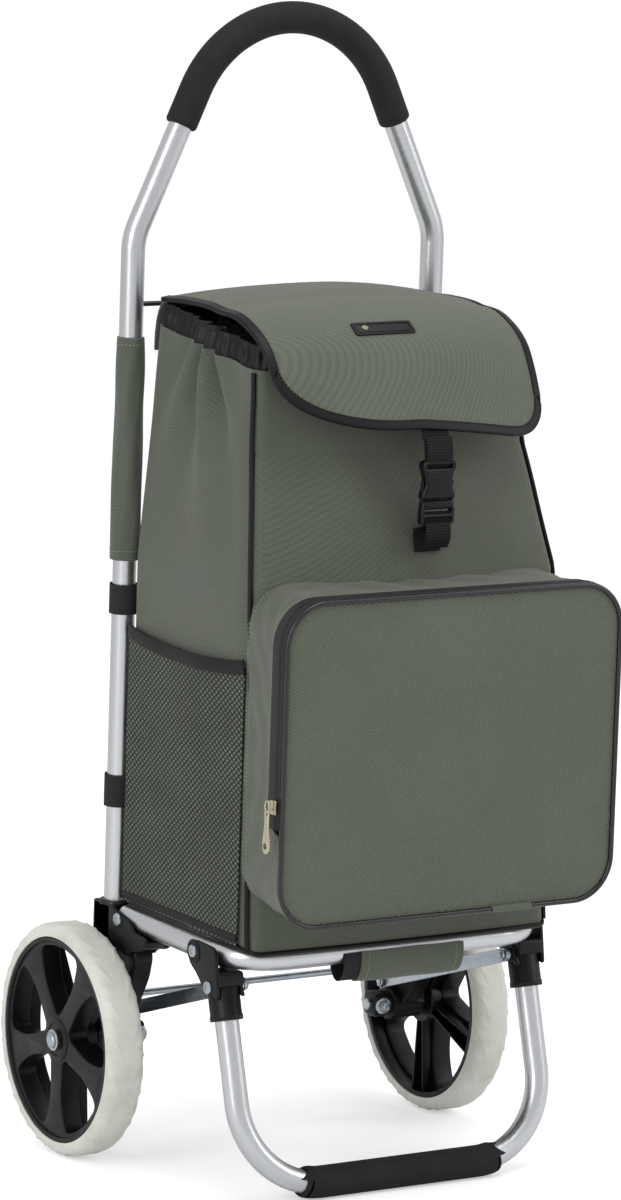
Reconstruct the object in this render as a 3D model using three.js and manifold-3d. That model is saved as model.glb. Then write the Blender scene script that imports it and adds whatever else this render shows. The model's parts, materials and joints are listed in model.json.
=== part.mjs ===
// Folding two-wheeled shopping trolley with a fabric bag.
//
// Millimetres, +Z up. -Y is the front (the side with the zipped pocket), +X is the right of someone
// facing that front. Everything is drawn in the chassis frame, in which the handle tubes are upright
// and the load platform is level. The finished trolley then leans forward by the small angle that
// puts both wheels and the foot on the floor.

import * as THREE from 'three';
import { mergeVertices } from 'three/addons/utils/BufferGeometryUtils.js';
import Module from 'manifold-3d';

const wasm = await Module();
wasm.setup();

// ---------------------------------------------------------------- driving dimensions

const clearance = 0.3;          // between two pieces that touch or slide
const boltClearance = 0.4;      // round a bolt's shank
const roundSides = 10;          // facets of a tube or a bore

// Tubes
const tubeRadius = 10;
const tubeWall = 1.5;
const tubeSpacing = 296;        // centre to centre of the two upright tubes

// Wheels and axle
const wheelRadius = 100;
const tyreThickness = 12;
const tyreWidth = 34;
const wheelOutset = 35;         // from a handle tube's centre to its wheel's centre plane
const axleRadius = 5;
const hubRadius = 18;
const spokeCount = 5;

// Chassis frame: heights above its zero, which is one wheel radius under the axle
const axleY = 3.5;
const handleY = -4.5;
const platformZ = 209;
const platformPivotY = -34;     // where the platform hinges in the rear brackets
const legPivotFromHinge = 126;  // platform pivot to stand-leg pivot
const platformLength = 179;     // platform pivot to the front crosspiece
const platformBend = 44;
const linkRise = 19.5;          // rear link pivot above the axle
const legLinkDrop = 25.4;       // leg-to-link pivot under the leg pivot
const legLinkForward = 25.3;    // and in front of it
const legTilt = THREE.MathUtils.degToRad(16.5);
const legLength = 169.4;        // leg-to-link pivot to the foot's centreline
const legBend = 72;
const footRadius = 13.5;
const footFlat = 0.5;           // how far the foot's underside is worn flat
const legFoldAngle = 93;        // how far the leg folds against the platform

// Handle
const handleBendZ = 783;
const handleBendRadius = 55;
const handleInwardLean = THREE.MathUtils.degToRad(24.5);
const handleTopZ = 964.7;       // centreline of the arch
const gripEndZ = 875;
const gripRadius = 13.6;

// Plastic brackets
const cheekThickness = 3.2;
const socketWall = 3.3;
const socketTopZ = 219.5;
const handleInsertion = 50;     // length of handle tube held in its socket
const bossRadius = 15;
const slimBossRadius = 11;
const bossReach = 30;           // how far the axle boss stands in from the handle tube's centre
const boltRadius = 3;
const boltHeadRadius = 5.5;
const boltHeadHeight = 2.4;
const linkWidth = 12;
const linkThickness = 2;
const linkGap = 4;              // from the bracket's inner face to the link
const rodRadius = 3;
const rodY = 12;
const rodRise = 30.5;           // cross rod above the axle

// Bag
const bagWidth = 300;
const bagFrontY = -222;
const bagBackY = -16.5;
const bagWall = 3;
const bagBulge = 20;            // how far the front stands out at its middle
const shoulderZ = 520;          // the bag is straight up to here and narrows above
const mouthWidth = 266;
const mouthFrontY = -178;
const mouthRearZ = 713;
const mouthFrontZ = 692;
const collarHeight = 19;
const collarWall = 2.5;
const baseBoardThickness = 3;

// Front pocket
const pocketWidth = 318;
const pocketBottomZ = 255;
const pocketTopZ = 517;
const pocketCorner = 34;
const pocketFrontY = -292;
const panelThickness = 4;
const pipingWidth = 6;
const zipWidth = 8;
const gussetWall = 3;
const zipEndZ = 335;            // lower ends of the zip
const sliderZ = 354;
const pullLength = 44;

// Side pockets, piping, straps
const meshThickness = 3;
const meshTopZ = 459;
const cornerPipingRadius = 2;
const strapWidth = 100;
const strapX = 11;               // how far the strap sits right of the middle
const strapThickness = 2;
const sleeveBottomZ = 512;
const sleeveTopZ = 700;
const sleeveWall = 2;
const tapeWall = 2;
const tapeBands = [{ name: 'upper', bottom: 466, top: 491 }, { name: 'lower', bottom: 301, top: 328 }];
const hangerRadius = 2.2;
const hangerZ = 727;

// Flap and buckle
const flapThickness = 3;
const flapBindingWidth = 8;
const flapHingeY = -27;
const flapHingeZ = 739;
const flapRearHalf = 133;
const flapFrontHalf = 128;
const flapEndRound = 60;
const webbingWidth = 25;
const webbingThickness = 2;
const buckleX = 11;
const buckleWidth = 33;
const buckleThickness = 10;
const buckleTopZ = 621;
const buckleSplitZ = 588;
const buckleBottomZ = 567;
const tailZ = 543;

// ---------------------------------------------------------------- materials

const finish = (color, roughness, metalness = 0) => new THREE.MeshStandardMaterial({ color, roughness, metalness });
const materials = {
  tube: finish(0xc9cbce, 0.35, 1),
  zinc: finish(0x9aa7b2, 0.4, 1),
  blackPlastic: finish(0x1b1b1e, 0.55),
  foam: finish(0x111113, 0.9),
  tyre: finish(0xdcdcd4, 0.8),
  olive: finish(0x56624f, 0.85),
  blackFabric: finish(0x1a1a1d, 0.85),
  mesh: finish(0x2b2d26, 0.9),
  board: finish(0x2a2c28, 0.8),
  pull: finish(0xc2bb9f, 0.3, 1),
};

// ---------------------------------------------------------------- solids

// A closed three.js geometry becomes a solid that can be cut and joined.
function solid(geometry) {
  const bare = new THREE.BufferGeometry();
  bare.setAttribute('position', geometry.getAttribute('position'));
  bare.setIndex(geometry.index);
  const merged = mergeVertices(bare, 1e-4);
  const vertProperties = Float32Array.from(merged.getAttribute('position').array);
  const triVerts = Uint32Array.from(merged.index.array);
  return new wasm.Manifold(new wasm.Mesh({ numProp: 3, vertProperties, triVerts }));
}

function geometryOf(manifold) {
  const mesh = manifold.getMesh();
  const geometry = new THREE.BufferGeometry();
  geometry.setAttribute('position', new THREE.BufferAttribute(mesh.vertProperties, 3));
  geometry.setIndex(new THREE.BufferAttribute(mesh.triVerts, 1));
  geometry.computeVertexNormals();
  return geometry;
}

const joined = (...pieces) => pieces.reduce((sum, piece) => sum.add(piece));
const cut = (body, ...tools) => tools.reduce((rest, tool) => rest.subtract(tool), body);

// A bore's corner radius, so that its flats clear a round bar of this radius.
const boreFor = (radius, sides = roundSides) => radius / Math.cos(Math.PI / sides);

const point = (x, y, z) => new THREE.Vector3(x, y, z);
const inPlane = (x, place) => point(x, place.y, place.z);

function roundBar(from, to, radius, sides = roundSides) {
  const axis = to.clone().sub(from);
  const bar = new THREE.CylinderGeometry(radius, radius, axis.length(), sides);
  bar.applyQuaternion(new THREE.Quaternion().setFromUnitVectors(point(0, 1, 0), axis.normalize()));
  bar.translate(...from.clone().add(to).multiplyScalar(0.5).toArray());
  return solid(bar);
}

function block(low, high) {
  const size = high.clone().sub(low);
  const box = new THREE.BoxGeometry(size.x, size.y, size.z);
  box.translate(...low.clone().add(high).multiplyScalar(0.5).toArray());
  return solid(box);
}

// An outline drawn in Y and Z, thickened along X.
function sidePlate(shape, lowX, highX, curveSegments = 6) {
  const plate = new THREE.ExtrudeGeometry(shape, { depth: highX - lowX, bevelEnabled: false, curveSegments });
  plate.applyMatrix4(new THREE.Matrix4().makeBasis(point(0, 1, 0), point(0, 0, 1), point(1, 0, 0)));
  plate.translate(lowX, 0, 0);
  return solid(plate);
}

// An outline drawn in X and Z, thickened along Y towards the front.
function frontPlate(shape, rearY, frontY, curveSegments = 5) {
  const plate = new THREE.ExtrudeGeometry(shape, { depth: rearY - frontY, bevelEnabled: false, curveSegments });
  plate.rotateX(Math.PI / 2);
  plate.translate(0, rearY, 0);
  return solid(plate);
}

// A curve whose rings fall on chosen stations, so that bends get rings and straight runs don't.
class Stations extends THREE.Curve {
  constructor(points) {
    super();
    this.points = points;
  }
  getPoint(t) {
    const place = t * (this.points.length - 1);
    const index = Math.min(Math.floor(place), this.points.length - 2);
    return this.points[index].clone().lerp(this.points[index + 1], place - index);
  }
  getPointAt(u) {
    return this.getPoint(u);
  }
  getTangentAt(u) {
    const last = this.points.length - 1;
    const index = Math.round(u * last);
    const before = this.points[Math.max(index - 1, 0)];
    const here = this.points[index];
    const after = this.points[Math.min(index + 1, last)];
    const inward = here === before ? after.clone().sub(here).normalize() : here.clone().sub(before).normalize();
    const outward = here === after ? inward.clone() : after.clone().sub(here).normalize();
    return inward.add(outward).normalize();
  }
}

// Stations along straight runs between corners, with an arc of the given radius at each inner corner.
function bentRun(corners, radii, arcSteps) {
  const stations = [corners[0]];
  for (let i = 1; i < corners.length - 1; i += 1) {
    const corner = corners[i];
    const back = corners[i - 1].clone().sub(corner).normalize();
    const onward = corners[i + 1].clone().sub(corner).normalize();
    const half = back.angleTo(onward) / 2;
    const radius = radii[i - 1];
    const reach = radius / Math.tan(half);
    const centre = corner.clone().add(back.clone().add(onward).normalize().multiplyScalar(radius / Math.sin(half)));
    const start = corner.clone().addScaledVector(back, reach).sub(centre);
    const end = corner.clone().addScaledVector(onward, reach).sub(centre);
    const sweep = start.angleTo(end);
    const axis = start.clone().cross(end).normalize();
    for (let step = 0; step <= arcSteps[i - 1]; step += 1) {
      stations.push(start.clone().applyAxisAngle(axis, sweep * step / arcSteps[i - 1]).add(centre));
    }
  }
  stations.push(corners[corners.length - 1]);
  return stations;
}

function disc(radius, boreRadius, sides = roundSides, boreSides = sides) {
  const ring = (r, count) => Array.from({ length: count }, (_, i) => {
    const angle = (2 * i + 1) * Math.PI / count;
    return new THREE.Vector2(r * Math.cos(angle), r * Math.sin(angle));
  });
  const shape = new THREE.Shape(ring(radius, sides));
  if (boreRadius) shape.holes.push(new THREE.Path(ring(boreRadius, boreSides)));
  return shape;
}

function tubeAlong(stations, radius, boreRadius, sides = roundSides, boreSides = sides) {
  const steps = stations.length - 1;
  const section = disc(radius, boreRadius, sides, boreSides);
  return new THREE.ExtrudeGeometry(section, { steps, extrudePath: new Stations(stations) });
}

const hollowTube = (stations) => tubeAlong(stations, tubeRadius, tubeRadius - tubeWall);

// An outline of (u, -v) points, swept through levels from 0 to 1, each placed by a function of (u, v, level).
function lofted(outline, steps, place) {
  const sweep = new THREE.ExtrudeGeometry(outline, { depth: 1, steps, bevelEnabled: false });
  const position = sweep.getAttribute('position');
  for (let i = 0; i < position.count; i += 1) {
    const spot = place(position.getX(i), -position.getY(i), position.getZ(i));
    position.setXYZ(i, spot.x, spot.y, spot.z);
  }
  return solid(sweep);
}

// A sheet of nu by nv cells with two faces, w = 0 and w = 1, each point placed by a function of (u, v, w).
function bentSheet(nu, nv, place) {
  const sheet = new THREE.BoxGeometry(1, 1, 1, nu, nv, 1);
  const position = sheet.getAttribute('position');
  for (let i = 0; i < position.count; i += 1) {
    const spot = place(position.getX(i) + 0.5, position.getY(i) + 0.5, position.getZ(i) + 0.5);
    position.setXYZ(i, spot.x, spot.y, spot.z);
  }
  return solid(sheet);
}

function polygon(points) {
  return new THREE.Shape(points.map(([a, b]) => new THREE.Vector2(a, b)));
}

function roundedRectangle(low, high, corner) {
  const shape = new THREE.Shape();
  shape.moveTo(low.x + corner, low.y);
  shape.lineTo(high.x - corner, low.y);
  shape.absarc(high.x - corner, low.y + corner, corner, -Math.PI / 2, 0, false);
  shape.lineTo(high.x, high.y - corner);
  shape.absarc(high.x - corner, high.y - corner, corner, 0, Math.PI / 2, false);
  shape.lineTo(low.x + corner, high.y);
  shape.absarc(low.x + corner, high.y - corner, corner, Math.PI / 2, Math.PI, false);
  shape.lineTo(low.x, low.y + corner);
  shape.absarc(low.x + corner, low.y + corner, corner, Math.PI, 1.5 * Math.PI, false);
  return shape;
}

// Piecewise straight reading of a list of [where, value] pairs.
function along(table, where) {
  const next = table.findIndex(([station]) => station >= where);
  if (next < 0) return table[table.length - 1][1];
  if (next === 0) return table[0][1];
  const [a, low] = table[next - 1];
  const [b, high] = table[next];
  return low + (high - low) * (where - a) / (b - a);
}

// ---------------------------------------------------------------- shared places

const tubeX = tubeSpacing / 2;
const axle = { y: axleY, z: wheelRadius };
const platformPivot = { y: platformPivotY, z: platformZ };
const legPivot = { y: platformPivotY - legPivotFromHinge, z: platformZ };
const crosspieceY = platformPivotY - platformLength;
const legLinkPivot = { y: legPivot.y - legLinkForward, z: legPivot.z - legLinkDrop };
const linkPivot = { y: axleY, z: axle.z + linkRise };
const foot = {
  y: legLinkPivot.y - legLength * Math.sin(legTilt),
  z: legLinkPivot.z - legLength * Math.cos(legTilt),
};
const footDrop = footRadius - footFlat;

const cheekInner = tubeRadius + 0.6;
const cheekOuter = cheekInner + cheekThickness;
const bracketInnerX = tubeX - cheekOuter;
const bracketOuterX = tubeX + cheekOuter;
const linkOuterX = bracketInnerX - linkGap;
const linkInnerX = linkOuterX - linkThickness;
const wheelTrack = tubeSpacing + 2 * wheelOutset;
const bossInnerX = tubeSpacing / 2 - bossReach;
const rodZ = wheelRadius + rodRise;
const tyreInnerX = (wheelTrack - tyreWidth) / 2;
const tyreOuterX = (wheelTrack + tyreWidth) / 2;
const rimRadius = wheelRadius - tyreThickness;

// The lean that sets the wheels and the foot on one floor.
const reachY = axle.y - foot.y;
const reachZ = axle.z - foot.z;
const lean = Math.asin((wheelRadius - footDrop) / Math.hypot(reachY, reachZ)) - Math.atan2(reachZ, reachY);

const bagBottomZ = platformZ + tubeRadius + 0.8;
const pocketHalf = pocketWidth / 2;
const panelFrontY = pocketFrontY;
const panelRearY = panelFrontY + panelThickness;
const pipingFrontY = panelFrontY - 2;
const pipingRearY = pipingFrontY + pipingWidth;
const zipFrontY = pipingRearY + clearance;
const zipRearY = zipFrontY + zipWidth;

// Mirror pieces: side -1 is the left one, side 1 the right one.
const sides = [{ name: 'left', sign: -1 }, { name: 'right', sign: 1 }];

const trolley = new THREE.Group();

function add(name, geometry, material) {
  const mesh = new THREE.Mesh(geometry.isBufferGeometry ? geometry : geometryOf(geometry), material);
  mesh.name = name;
  trolley.add(mesh);
  return mesh;
}

// A bar, block or plate between two distances from the middle plane, on one side.
const barX = (sign, nearX, farX, place, radius, count) =>
  roundBar(inPlane(sign * nearX, place), inPlane(sign * farX, place), radius, count);
const plateX = (sign, nearX, farX, shape) =>
  sidePlate(shape, Math.min(sign * nearX, sign * farX), Math.max(sign * nearX, sign * farX));
const blockX = (sign, nearX, farX, lowY, highY, lowZ, highZ) => block(
  point(Math.min(sign * nearX, sign * farX), lowY, lowZ),
  point(Math.max(sign * nearX, sign * farX), highY, highZ),
);

// ---------------------------------------------------------------- handle

const handleApex = point(0, handleY, handleBendZ + tubeX / Math.tan(handleInwardLean));
const apexDrop = handleApex.z - handleTopZ;
const archRadius = apexDrop * Math.sin(handleInwardLean) / (1 - Math.sin(handleInwardLean));

function handleStations(endZ) {
  const end = endZ < handleBendZ ? point(-tubeX, handleY, endZ) : null;
  const bend = point(-tubeX, handleY, handleBendZ);
  if (end) {
    const mirrored = [bend, end].map((corner) => point(-corner.x, corner.y, corner.z));
    return bentRun([end, bend, handleApex, ...mirrored], [handleBendRadius, archRadius, handleBendRadius], [3, 8, 3]);
  }
  const start = point(-(handleApex.z - endZ) * Math.tan(handleInwardLean), handleY, endZ);
  return bentRun([start, handleApex, point(-start.x, start.y, start.z)], [archRadius], [8]);
}

add('handle_frame', hollowTube(handleStations(socketTopZ - handleInsertion)), materials.tube);
const gripBore = boreFor(tubeRadius + clearance);
add('handle_grip', tubeAlong(handleStations(gripEndZ), gripRadius, gripBore), materials.foam);
add('hanger_bar', roundBar(
  point(-tubeX + tubeRadius + clearance, handleY, hangerZ),
  point(tubeX - tubeRadius - clearance, handleY, hangerZ),
  hangerRadius,
  8,
), materials.zinc);

// ---------------------------------------------------------------- platform

const platformRearY = platformPivot.y + tubeRadius + 2;
const platformSide = point(-tubeX, platformRearY, platformZ);
const platformCorner = point(-tubeX, crosspieceY, platformZ);
const platformStations = bentRun(
  [platformSide, platformCorner, point(tubeX, crosspieceY, platformZ), point(tubeX, platformRearY, platformZ)],
  [platformBend, platformBend],
  [4, 4],
);

function boltHoles(places) {
  return places.map((place) => roundBar(
    inPlane(-tubeX - 2 * tubeRadius, place),
    inPlane(tubeX + 2 * tubeRadius, place),
    boreFor(boltRadius + boltClearance, 8),
    8,
  ));
}

add('platform_frame', cut(solid(hollowTube(platformStations)), ...boltHoles([platformPivot, legPivot])), materials.tube);

// Room between two cheeks, given by its side outline, for a platform tube to turn in.
const tubeRoom = (sign, outline) => plateX(sign, tubeX - cheekInner, tubeX + cheekInner, outline);
const sweepRadius = tubeRadius + 0.5;

// ---------------------------------------------------------------- rear brackets and axle

const socketFrontY = handleY - tubeRadius - socketWall;
const jawTopZ = platformZ - tubeRadius - 0.5;
const stemRearY = axleY + bossRadius;
const rearSweep = Math.hypot(platformRearY - platformPivot.y, tubeRadius) + clearance;

// Side outline: upright back, sloping ear over the platform pivot, jaw under the platform tube, stem to the boss.
function rearBracketOutline() {
  const earY = platformPivot.y - 18;
  return polygon([
    [stemRearY, axle.z],
    [stemRearY - 2, axle.z + 60],
    [handleY + tubeRadius + socketWall, jawTopZ - 5],
    [handleY + tubeRadius + socketWall, socketTopZ],
    [socketFrontY - 12, socketTopZ],
    [earY, platformZ + 4],
    [earY, jawTopZ],
    [earY - 21, jawTopZ],
    [earY - 14, jawTopZ - 11],
    [earY - 3, jawTopZ - 20],
    [earY - 2, jawTopZ - 38],
    [axleY - bossRadius - 8, axle.z + 12],
    [axleY - bossRadius, axle.z],
  ]);
}

function rearBracket(sign) {
  const outline = rearBracketOutline();
  const handleFrom = point(sign * tubeX, handleY, socketTopZ - handleInsertion - clearance);
  const handleTo = point(sign * tubeX, handleY, socketTopZ + 10);
  const body = joined(
    plateX(sign, bracketInnerX, bracketOuterX, outline),
    barX(sign, bracketInnerX, tyreInnerX - 1, axle, bossRadius, 20),
    barX(sign, bossInnerX, bracketInnerX + 1, axle, slimBossRadius, 16),
  );
  return cut(
    body,
    roundBar(handleFrom, handleTo, boreFor(tubeRadius + clearance)),
    barX(sign, tubeX - cheekInner, tubeX + cheekInner, platformPivot, boreFor(rearSweep, 16), 16),
    tubeRoom(sign, polygon([
      [platformPivot.y, jawTopZ], [platformPivot.y, socketTopZ + 10], [-100, socketTopZ + 10], [-100, jawTopZ],
    ])),
    barX(sign, bossInnerX - 1, tyreInnerX, axle, boreFor(axleRadius + clearance)),
    barX(sign, bracketInnerX - 1, bracketOuterX + 1, platformPivot, boreFor(boltRadius + boltClearance, 8), 8),
    barX(sign, bracketInnerX - 1, tubeX + 1, linkPivot, boreFor(boltRadius + boltClearance, 8), 8),
    barX(sign, bracketInnerX - 1, bracketInnerX + 9, { y: rodY, z: rodZ }, boreFor(rodRadius + clearance, 8), 8),
    roundBar(
      point(sign * (bossInnerX + 5), axleY - slimBossRadius - 1, axle.z),
      point(sign * (bossInnerX + 5), axleY + slimBossRadius + 1, axle.z),
      boreFor(boltRadius + boltClearance, 8),
      8,
    ),
  );
}

// A bolt along X with a pan head outside and a hexagon nut inside, given as distances from the middle plane.
function crossBolt(sign, nearX, farX, place) {
  return joined(
    barX(sign, nearX, farX, place, boltRadius, 8),
    barX(sign, farX, farX + boltHeadHeight, place, boltHeadRadius, 10),
    barX(sign, nearX - boltHeadHeight, nearX, place, boltHeadRadius, 6),
  );
}

for (const { name, sign } of sides) {
  add(`${name}_rear_bracket`, rearBracket(sign), materials.blackPlastic);

  const clampX = sign * (bossInnerX + 5);
  const crossHole = roundBar(
    point(clampX, axleY - 20, axle.z),
    point(clampX, axleY + 20, axle.z),
    boreFor(boltRadius + boltClearance, 8),
    8,
  );
  const stub = barX(sign, bossInnerX - 1.5, tyreOuterX + 4, axle, axleRadius);
  const stubEnd = barX(sign, bossInnerX - 6, bossInnerX - 1, axle, axleRadius);
  add(`${name}_axle`, cut(joined(stub, stubEnd), crossHole), materials.zinc);

  const halfClamp = slimBossRadius + clearance;
  add(`${name}_axle_clamp_bolt`, joined(
    roundBar(point(clampX, axleY - halfClamp - 4, axle.z), point(clampX, axleY + halfClamp + 2, axle.z), boltRadius, 8),
    roundBar(point(clampX, axleY - halfClamp - 3, axle.z), point(clampX, axleY - halfClamp, axle.z), boltHeadRadius, 6),
    roundBar(
      point(clampX, axleY + halfClamp, axle.z),
      point(clampX, axleY + halfClamp + boltHeadHeight, axle.z),
      boltHeadRadius,
      10,
    ),
  ), materials.zinc);

  add(
    `${name}_platform_pivot_bolt`,
    crossBolt(sign, bracketInnerX - clearance, bracketOuterX + clearance, platformPivot),
    materials.zinc,
  );
  add(`${name}_link_pivot_bolt`, joined(
    barX(sign, linkInnerX - 1, tubeX, linkPivot, boltRadius, 8),
    barX(sign, linkInnerX - clearance - boltHeadHeight, linkInnerX - clearance, linkPivot, boltHeadRadius, 10),
  ), materials.zinc);
}

add('cross_rod', roundBar(
  point(-bracketInnerX - 8, rodY, rodZ),
  point(bracketInnerX + 8, rodY, rodZ),
  rodRadius,
  8,
), materials.zinc);

// ---------------------------------------------------------------- wheels

// One window between two spokes, which are narrow at the hub and flare at the rim.
function spokeWindow(index) {
  const pitch = 2 * Math.PI / spokeCount;
  const middle = -Math.PI / 2 + (index + 0.5) * pitch;
  const inner = hubRadius + 5;
  const outer = rimRadius - 9;
  const place = (radius, angle) => [radius * Math.cos(middle + angle), radius * Math.sin(middle + angle)];
  return new THREE.Path(polygon([
    place(inner, -0.24 * pitch),
    place(outer * 0.72, -0.33 * pitch),
    place(outer, -0.2 * pitch),
    place(outer, 0.2 * pitch),
    place(outer * 0.72, 0.33 * pitch),
    place(inner, 0.24 * pitch),
  ]).getPoints());
}

function rim(sign) {
  const centreX = sign * wheelTrack / 2;
  const web = disc(rimRadius - 3, 0, 24);
  for (let index = 0; index < spokeCount; index += 1) web.holes.push(spokeWindow(index));
  const ring = disc(rimRadius - clearance, boreFor(rimRadius - 5, 24), 24);
  const around = (shape, halfWidth) => sidePlate(shape, centreX - halfWidth, centreX + halfWidth);
  return cut(
    joined(
      around(web, 6),
      around(ring, tyreWidth / 2 - 3),
      around(disc(hubRadius, 0, 16), tyreWidth / 2 - clearance),
    ),
    around(disc(boreFor(axleRadius + clearance), 0), tyreWidth),
  );
}

// The tyre's section, radius against distance from its centre plane: flat seat, rounded shoulders.
function tyre() {
  const half = tyreWidth / 2;
  const bore = boreFor(rimRadius, 32);
  const profile = [
    [bore, -half], [wheelRadius - 4, -half], [wheelRadius, -half + 8],
    [wheelRadius, half - 8], [wheelRadius - 4, half], [bore, half], [bore, -half],
  ].map(([radius, x]) => new THREE.Vector2(radius, x));
  const band = new THREE.LatheGeometry(profile, 32);
  band.rotateZ(-Math.PI / 2);
  return solid(band);
}

for (const { name, sign } of sides) {
  const wheel = new THREE.Group();
  wheel.position.set(0, axle.y, axle.z);
  wheel.rotation.x = -lean;
  trolley.add(wheel);

  const rimMesh = new THREE.Mesh(geometryOf(rim(sign)), materials.blackPlastic);
  rimMesh.name = `${name}_rim`;
  const tyreMesh = new THREE.Mesh(geometryOf(tyre()), materials.tyre);
  tyreMesh.name = `${name}_tyre`;
  tyreMesh.position.x = sign * wheelTrack / 2;
  wheel.add(rimMesh, tyreMesh);

  add(`${name}_wheel_nut`, cut(
    joined(
      barX(sign, tyreOuterX + clearance, tyreOuterX + 1.8, axle, 9, 12),
      barX(sign, tyreOuterX + 1.5, tyreOuterX + 5, axle, 7.5, 6),
    ),
    barX(sign, tyreOuterX - 1, tyreOuterX + 4.4, axle, boreFor(axleRadius + clearance)),
  ), materials.zinc);
}

// ---------------------------------------------------------------- stand leg

const legDirection = point(0, -Math.sin(legTilt), -Math.cos(legTilt));
const legBendSteps = 6;
const legTubeTop = 10;                  // above the leg-to-link pivot, along the tube
const sleeveTop = 12;
const sleeveLength = 29;                // under the same pivot
const onLeg = (x, distance) => inPlane(x, legLinkPivot).addScaledVector(legDirection, distance);

const legStations = bentRun(
  [onLeg(-tubeX, -legTubeTop), onLeg(-tubeX, legLength), onLeg(tubeX, legLength), onLeg(tubeX, -legTubeTop)],
  [legBend, legBend],
  [legBendSteps, legBendSteps],
);
add('stand_leg', cut(solid(hollowTube(legStations)), ...boltHoles([legLinkPivot])), materials.tube);

// The foot sleeve covers the straight run and the first step of each bend, and its underside is worn flat.
const floorBlock = new THREE.BoxGeometry(2 * tubeSpacing, 80, 40);
floorBlock.translate(0, 0, -20 - footDrop);
floorBlock.rotateX(-lean);
floorBlock.translate(0, foot.y, foot.z);
const footStations = legStations.slice(legBendSteps, legBendSteps + 4);
const footTube = tubeAlong(footStations, footRadius, boreFor(tubeRadius + clearance), 2 * roundSides, roundSides);
add('foot_sleeve', cut(solid(footTube), solid(floorBlock)), materials.foam);

// Fork cheek from the leg pivot down to the sleeve that holds the leg tube.
function legCheekOutline() {
  const front = legPivot.y - 33;
  const shape = new THREE.Shape();
  shape.moveTo(legPivot.y, legPivot.z - 9);
  shape.absarc(legPivot.y, legPivot.z, 9, -Math.PI / 2, Math.PI / 2, false);
  shape.lineTo(front, legPivot.z + 9);
  shape.lineTo(front - 3, legPivot.z - 12);
  const low = onLeg(0, 8);
  shape.lineTo(low.y - 11, low.z);
  shape.lineTo(low.y + 12, low.z + 5);
  shape.lineTo(legPivot.y - 5, legPivot.z - 20);
  return shape;
}

// Everything but the corner in front of and under the platform tube, which the tube never enters:
// its underside bounds that corner at rest, and its far side once the leg has folded beside it.
function foldedTubeRoom() {
  const turn = THREE.MathUtils.degToRad(legFoldAngle + 2);
  const onward = { y: Math.cos(turn), z: -Math.sin(turn) };
  const aside = { y: -Math.sin(turn), z: -Math.cos(turn) };
  const slide = (sweepRadius + sweepRadius * aside.z) / -onward.z;
  const corner = [legPivot.y + sweepRadius * aside.y + slide * onward.y, legPivot.z - sweepRadius];
  const reach = 80;
  return polygon([
    corner,
    [corner[0] + reach * onward.y, corner[1] + reach * onward.z],
    [legPivot.y + reach, corner[1] + reach * onward.z],
    [legPivot.y + reach, legPivot.z + reach],
    [legPivot.y - reach, legPivot.z + reach],
    [legPivot.y - reach, corner[1]],
  ]);
}

function legBracket(sign) {
  const x = sign * tubeX;
  const sleeve = roundBar(onLeg(x, -sleeveTop), onLeg(x, sleeveLength), tubeRadius + socketWall, 16);
  const outline = legCheekOutline();
  const body = joined(
    sleeve,
    plateX(sign, tubeX + cheekInner, tubeX + cheekOuter, outline),
    plateX(sign, bracketInnerX, tubeX - cheekInner, outline),
    blockX(sign, tubeX - cheekInner - 1, tubeX + cheekInner + 1, legLinkPivot.y - 9, legLinkPivot.y + 6,
      legLinkPivot.z - 6, jawTopZ),
  );
  return cut(
    body,
    roundBar(onLeg(x, -legTubeTop - clearance), onLeg(x, sleeveLength + 1), boreFor(tubeRadius + clearance)),
    tubeRoom(sign, foldedTubeRoom()),
    blockX(sign, bracketInnerX - 1, tubeX, crosspieceY, legPivot.y - 6, legPivot.z - sweepRadius - 1, legPivot.z + 20),
    barX(sign, bracketInnerX - 1, bracketOuterX + 1, legPivot, boreFor(boltRadius + boltClearance, 8), 8),
    barX(sign, bracketInnerX - 1, bracketOuterX + 1, legLinkPivot, boreFor(boltRadius + boltClearance, 8), 8),
  );
}

// A flat link from the rear pivot to the leg, with its own riveted stud end on the inner side.
function link(sign) {
  const reach = Math.hypot(legLinkPivot.y - linkPivot.y, legLinkPivot.z - linkPivot.z);
  const rise = Math.atan2(legLinkPivot.z - linkPivot.z, linkPivot.y - legLinkPivot.y);
  const half = linkWidth / 2;
  const shape = new THREE.Shape();
  shape.moveTo(4.5, -half);
  shape.lineTo(4.5, half);
  shape.lineTo(-reach, half);
  shape.absarc(-reach, 0, half, Math.PI / 2, 1.5 * Math.PI, false);
  const bar = new THREE.ExtrudeGeometry(shape, { depth: linkThickness, bevelEnabled: false, curveSegments: 6 });
  bar.applyMatrix4(new THREE.Matrix4().makeBasis(point(0, 1, 0), point(0, 0, 1), point(1, 0, 0)));
  bar.rotateX(-rise);
  bar.translate(sign > 0 ? linkInnerX : -linkOuterX, linkPivot.y, linkPivot.z);
  return joined(
    cut(solid(bar), barX(sign, linkInnerX - 1, linkOuterX + 1, linkPivot, boreFor(boltRadius + boltClearance, 8), 8)),
    barX(sign, linkInnerX - 3, linkInnerX + 1, legLinkPivot, 4.5, 6),
  );
}

for (const { name, sign } of sides) {
  add(`${name}_leg_bracket`, legBracket(sign), materials.blackPlastic);
  add(
    `${name}_leg_pivot_bolt`,
    crossBolt(sign, bracketInnerX - clearance, bracketOuterX + clearance, legPivot),
    materials.zinc,
  );
  add(`${name}_leg_link_bolt`, joined(
    barX(sign, linkOuterX + clearance, bracketOuterX + 1, legLinkPivot, boltRadius, 8),
    barX(sign, linkOuterX + clearance, bracketInnerX - clearance, legLinkPivot, boltHeadRadius, 10),
    barX(sign, bracketOuterX + clearance, bracketOuterX + clearance + boltHeadHeight, legLinkPivot, boltHeadRadius, 10),
  ), materials.zinc);
  add(`${name}_link`, link(sign), materials.zinc);
}

// ---------------------------------------------------------------- bag

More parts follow.
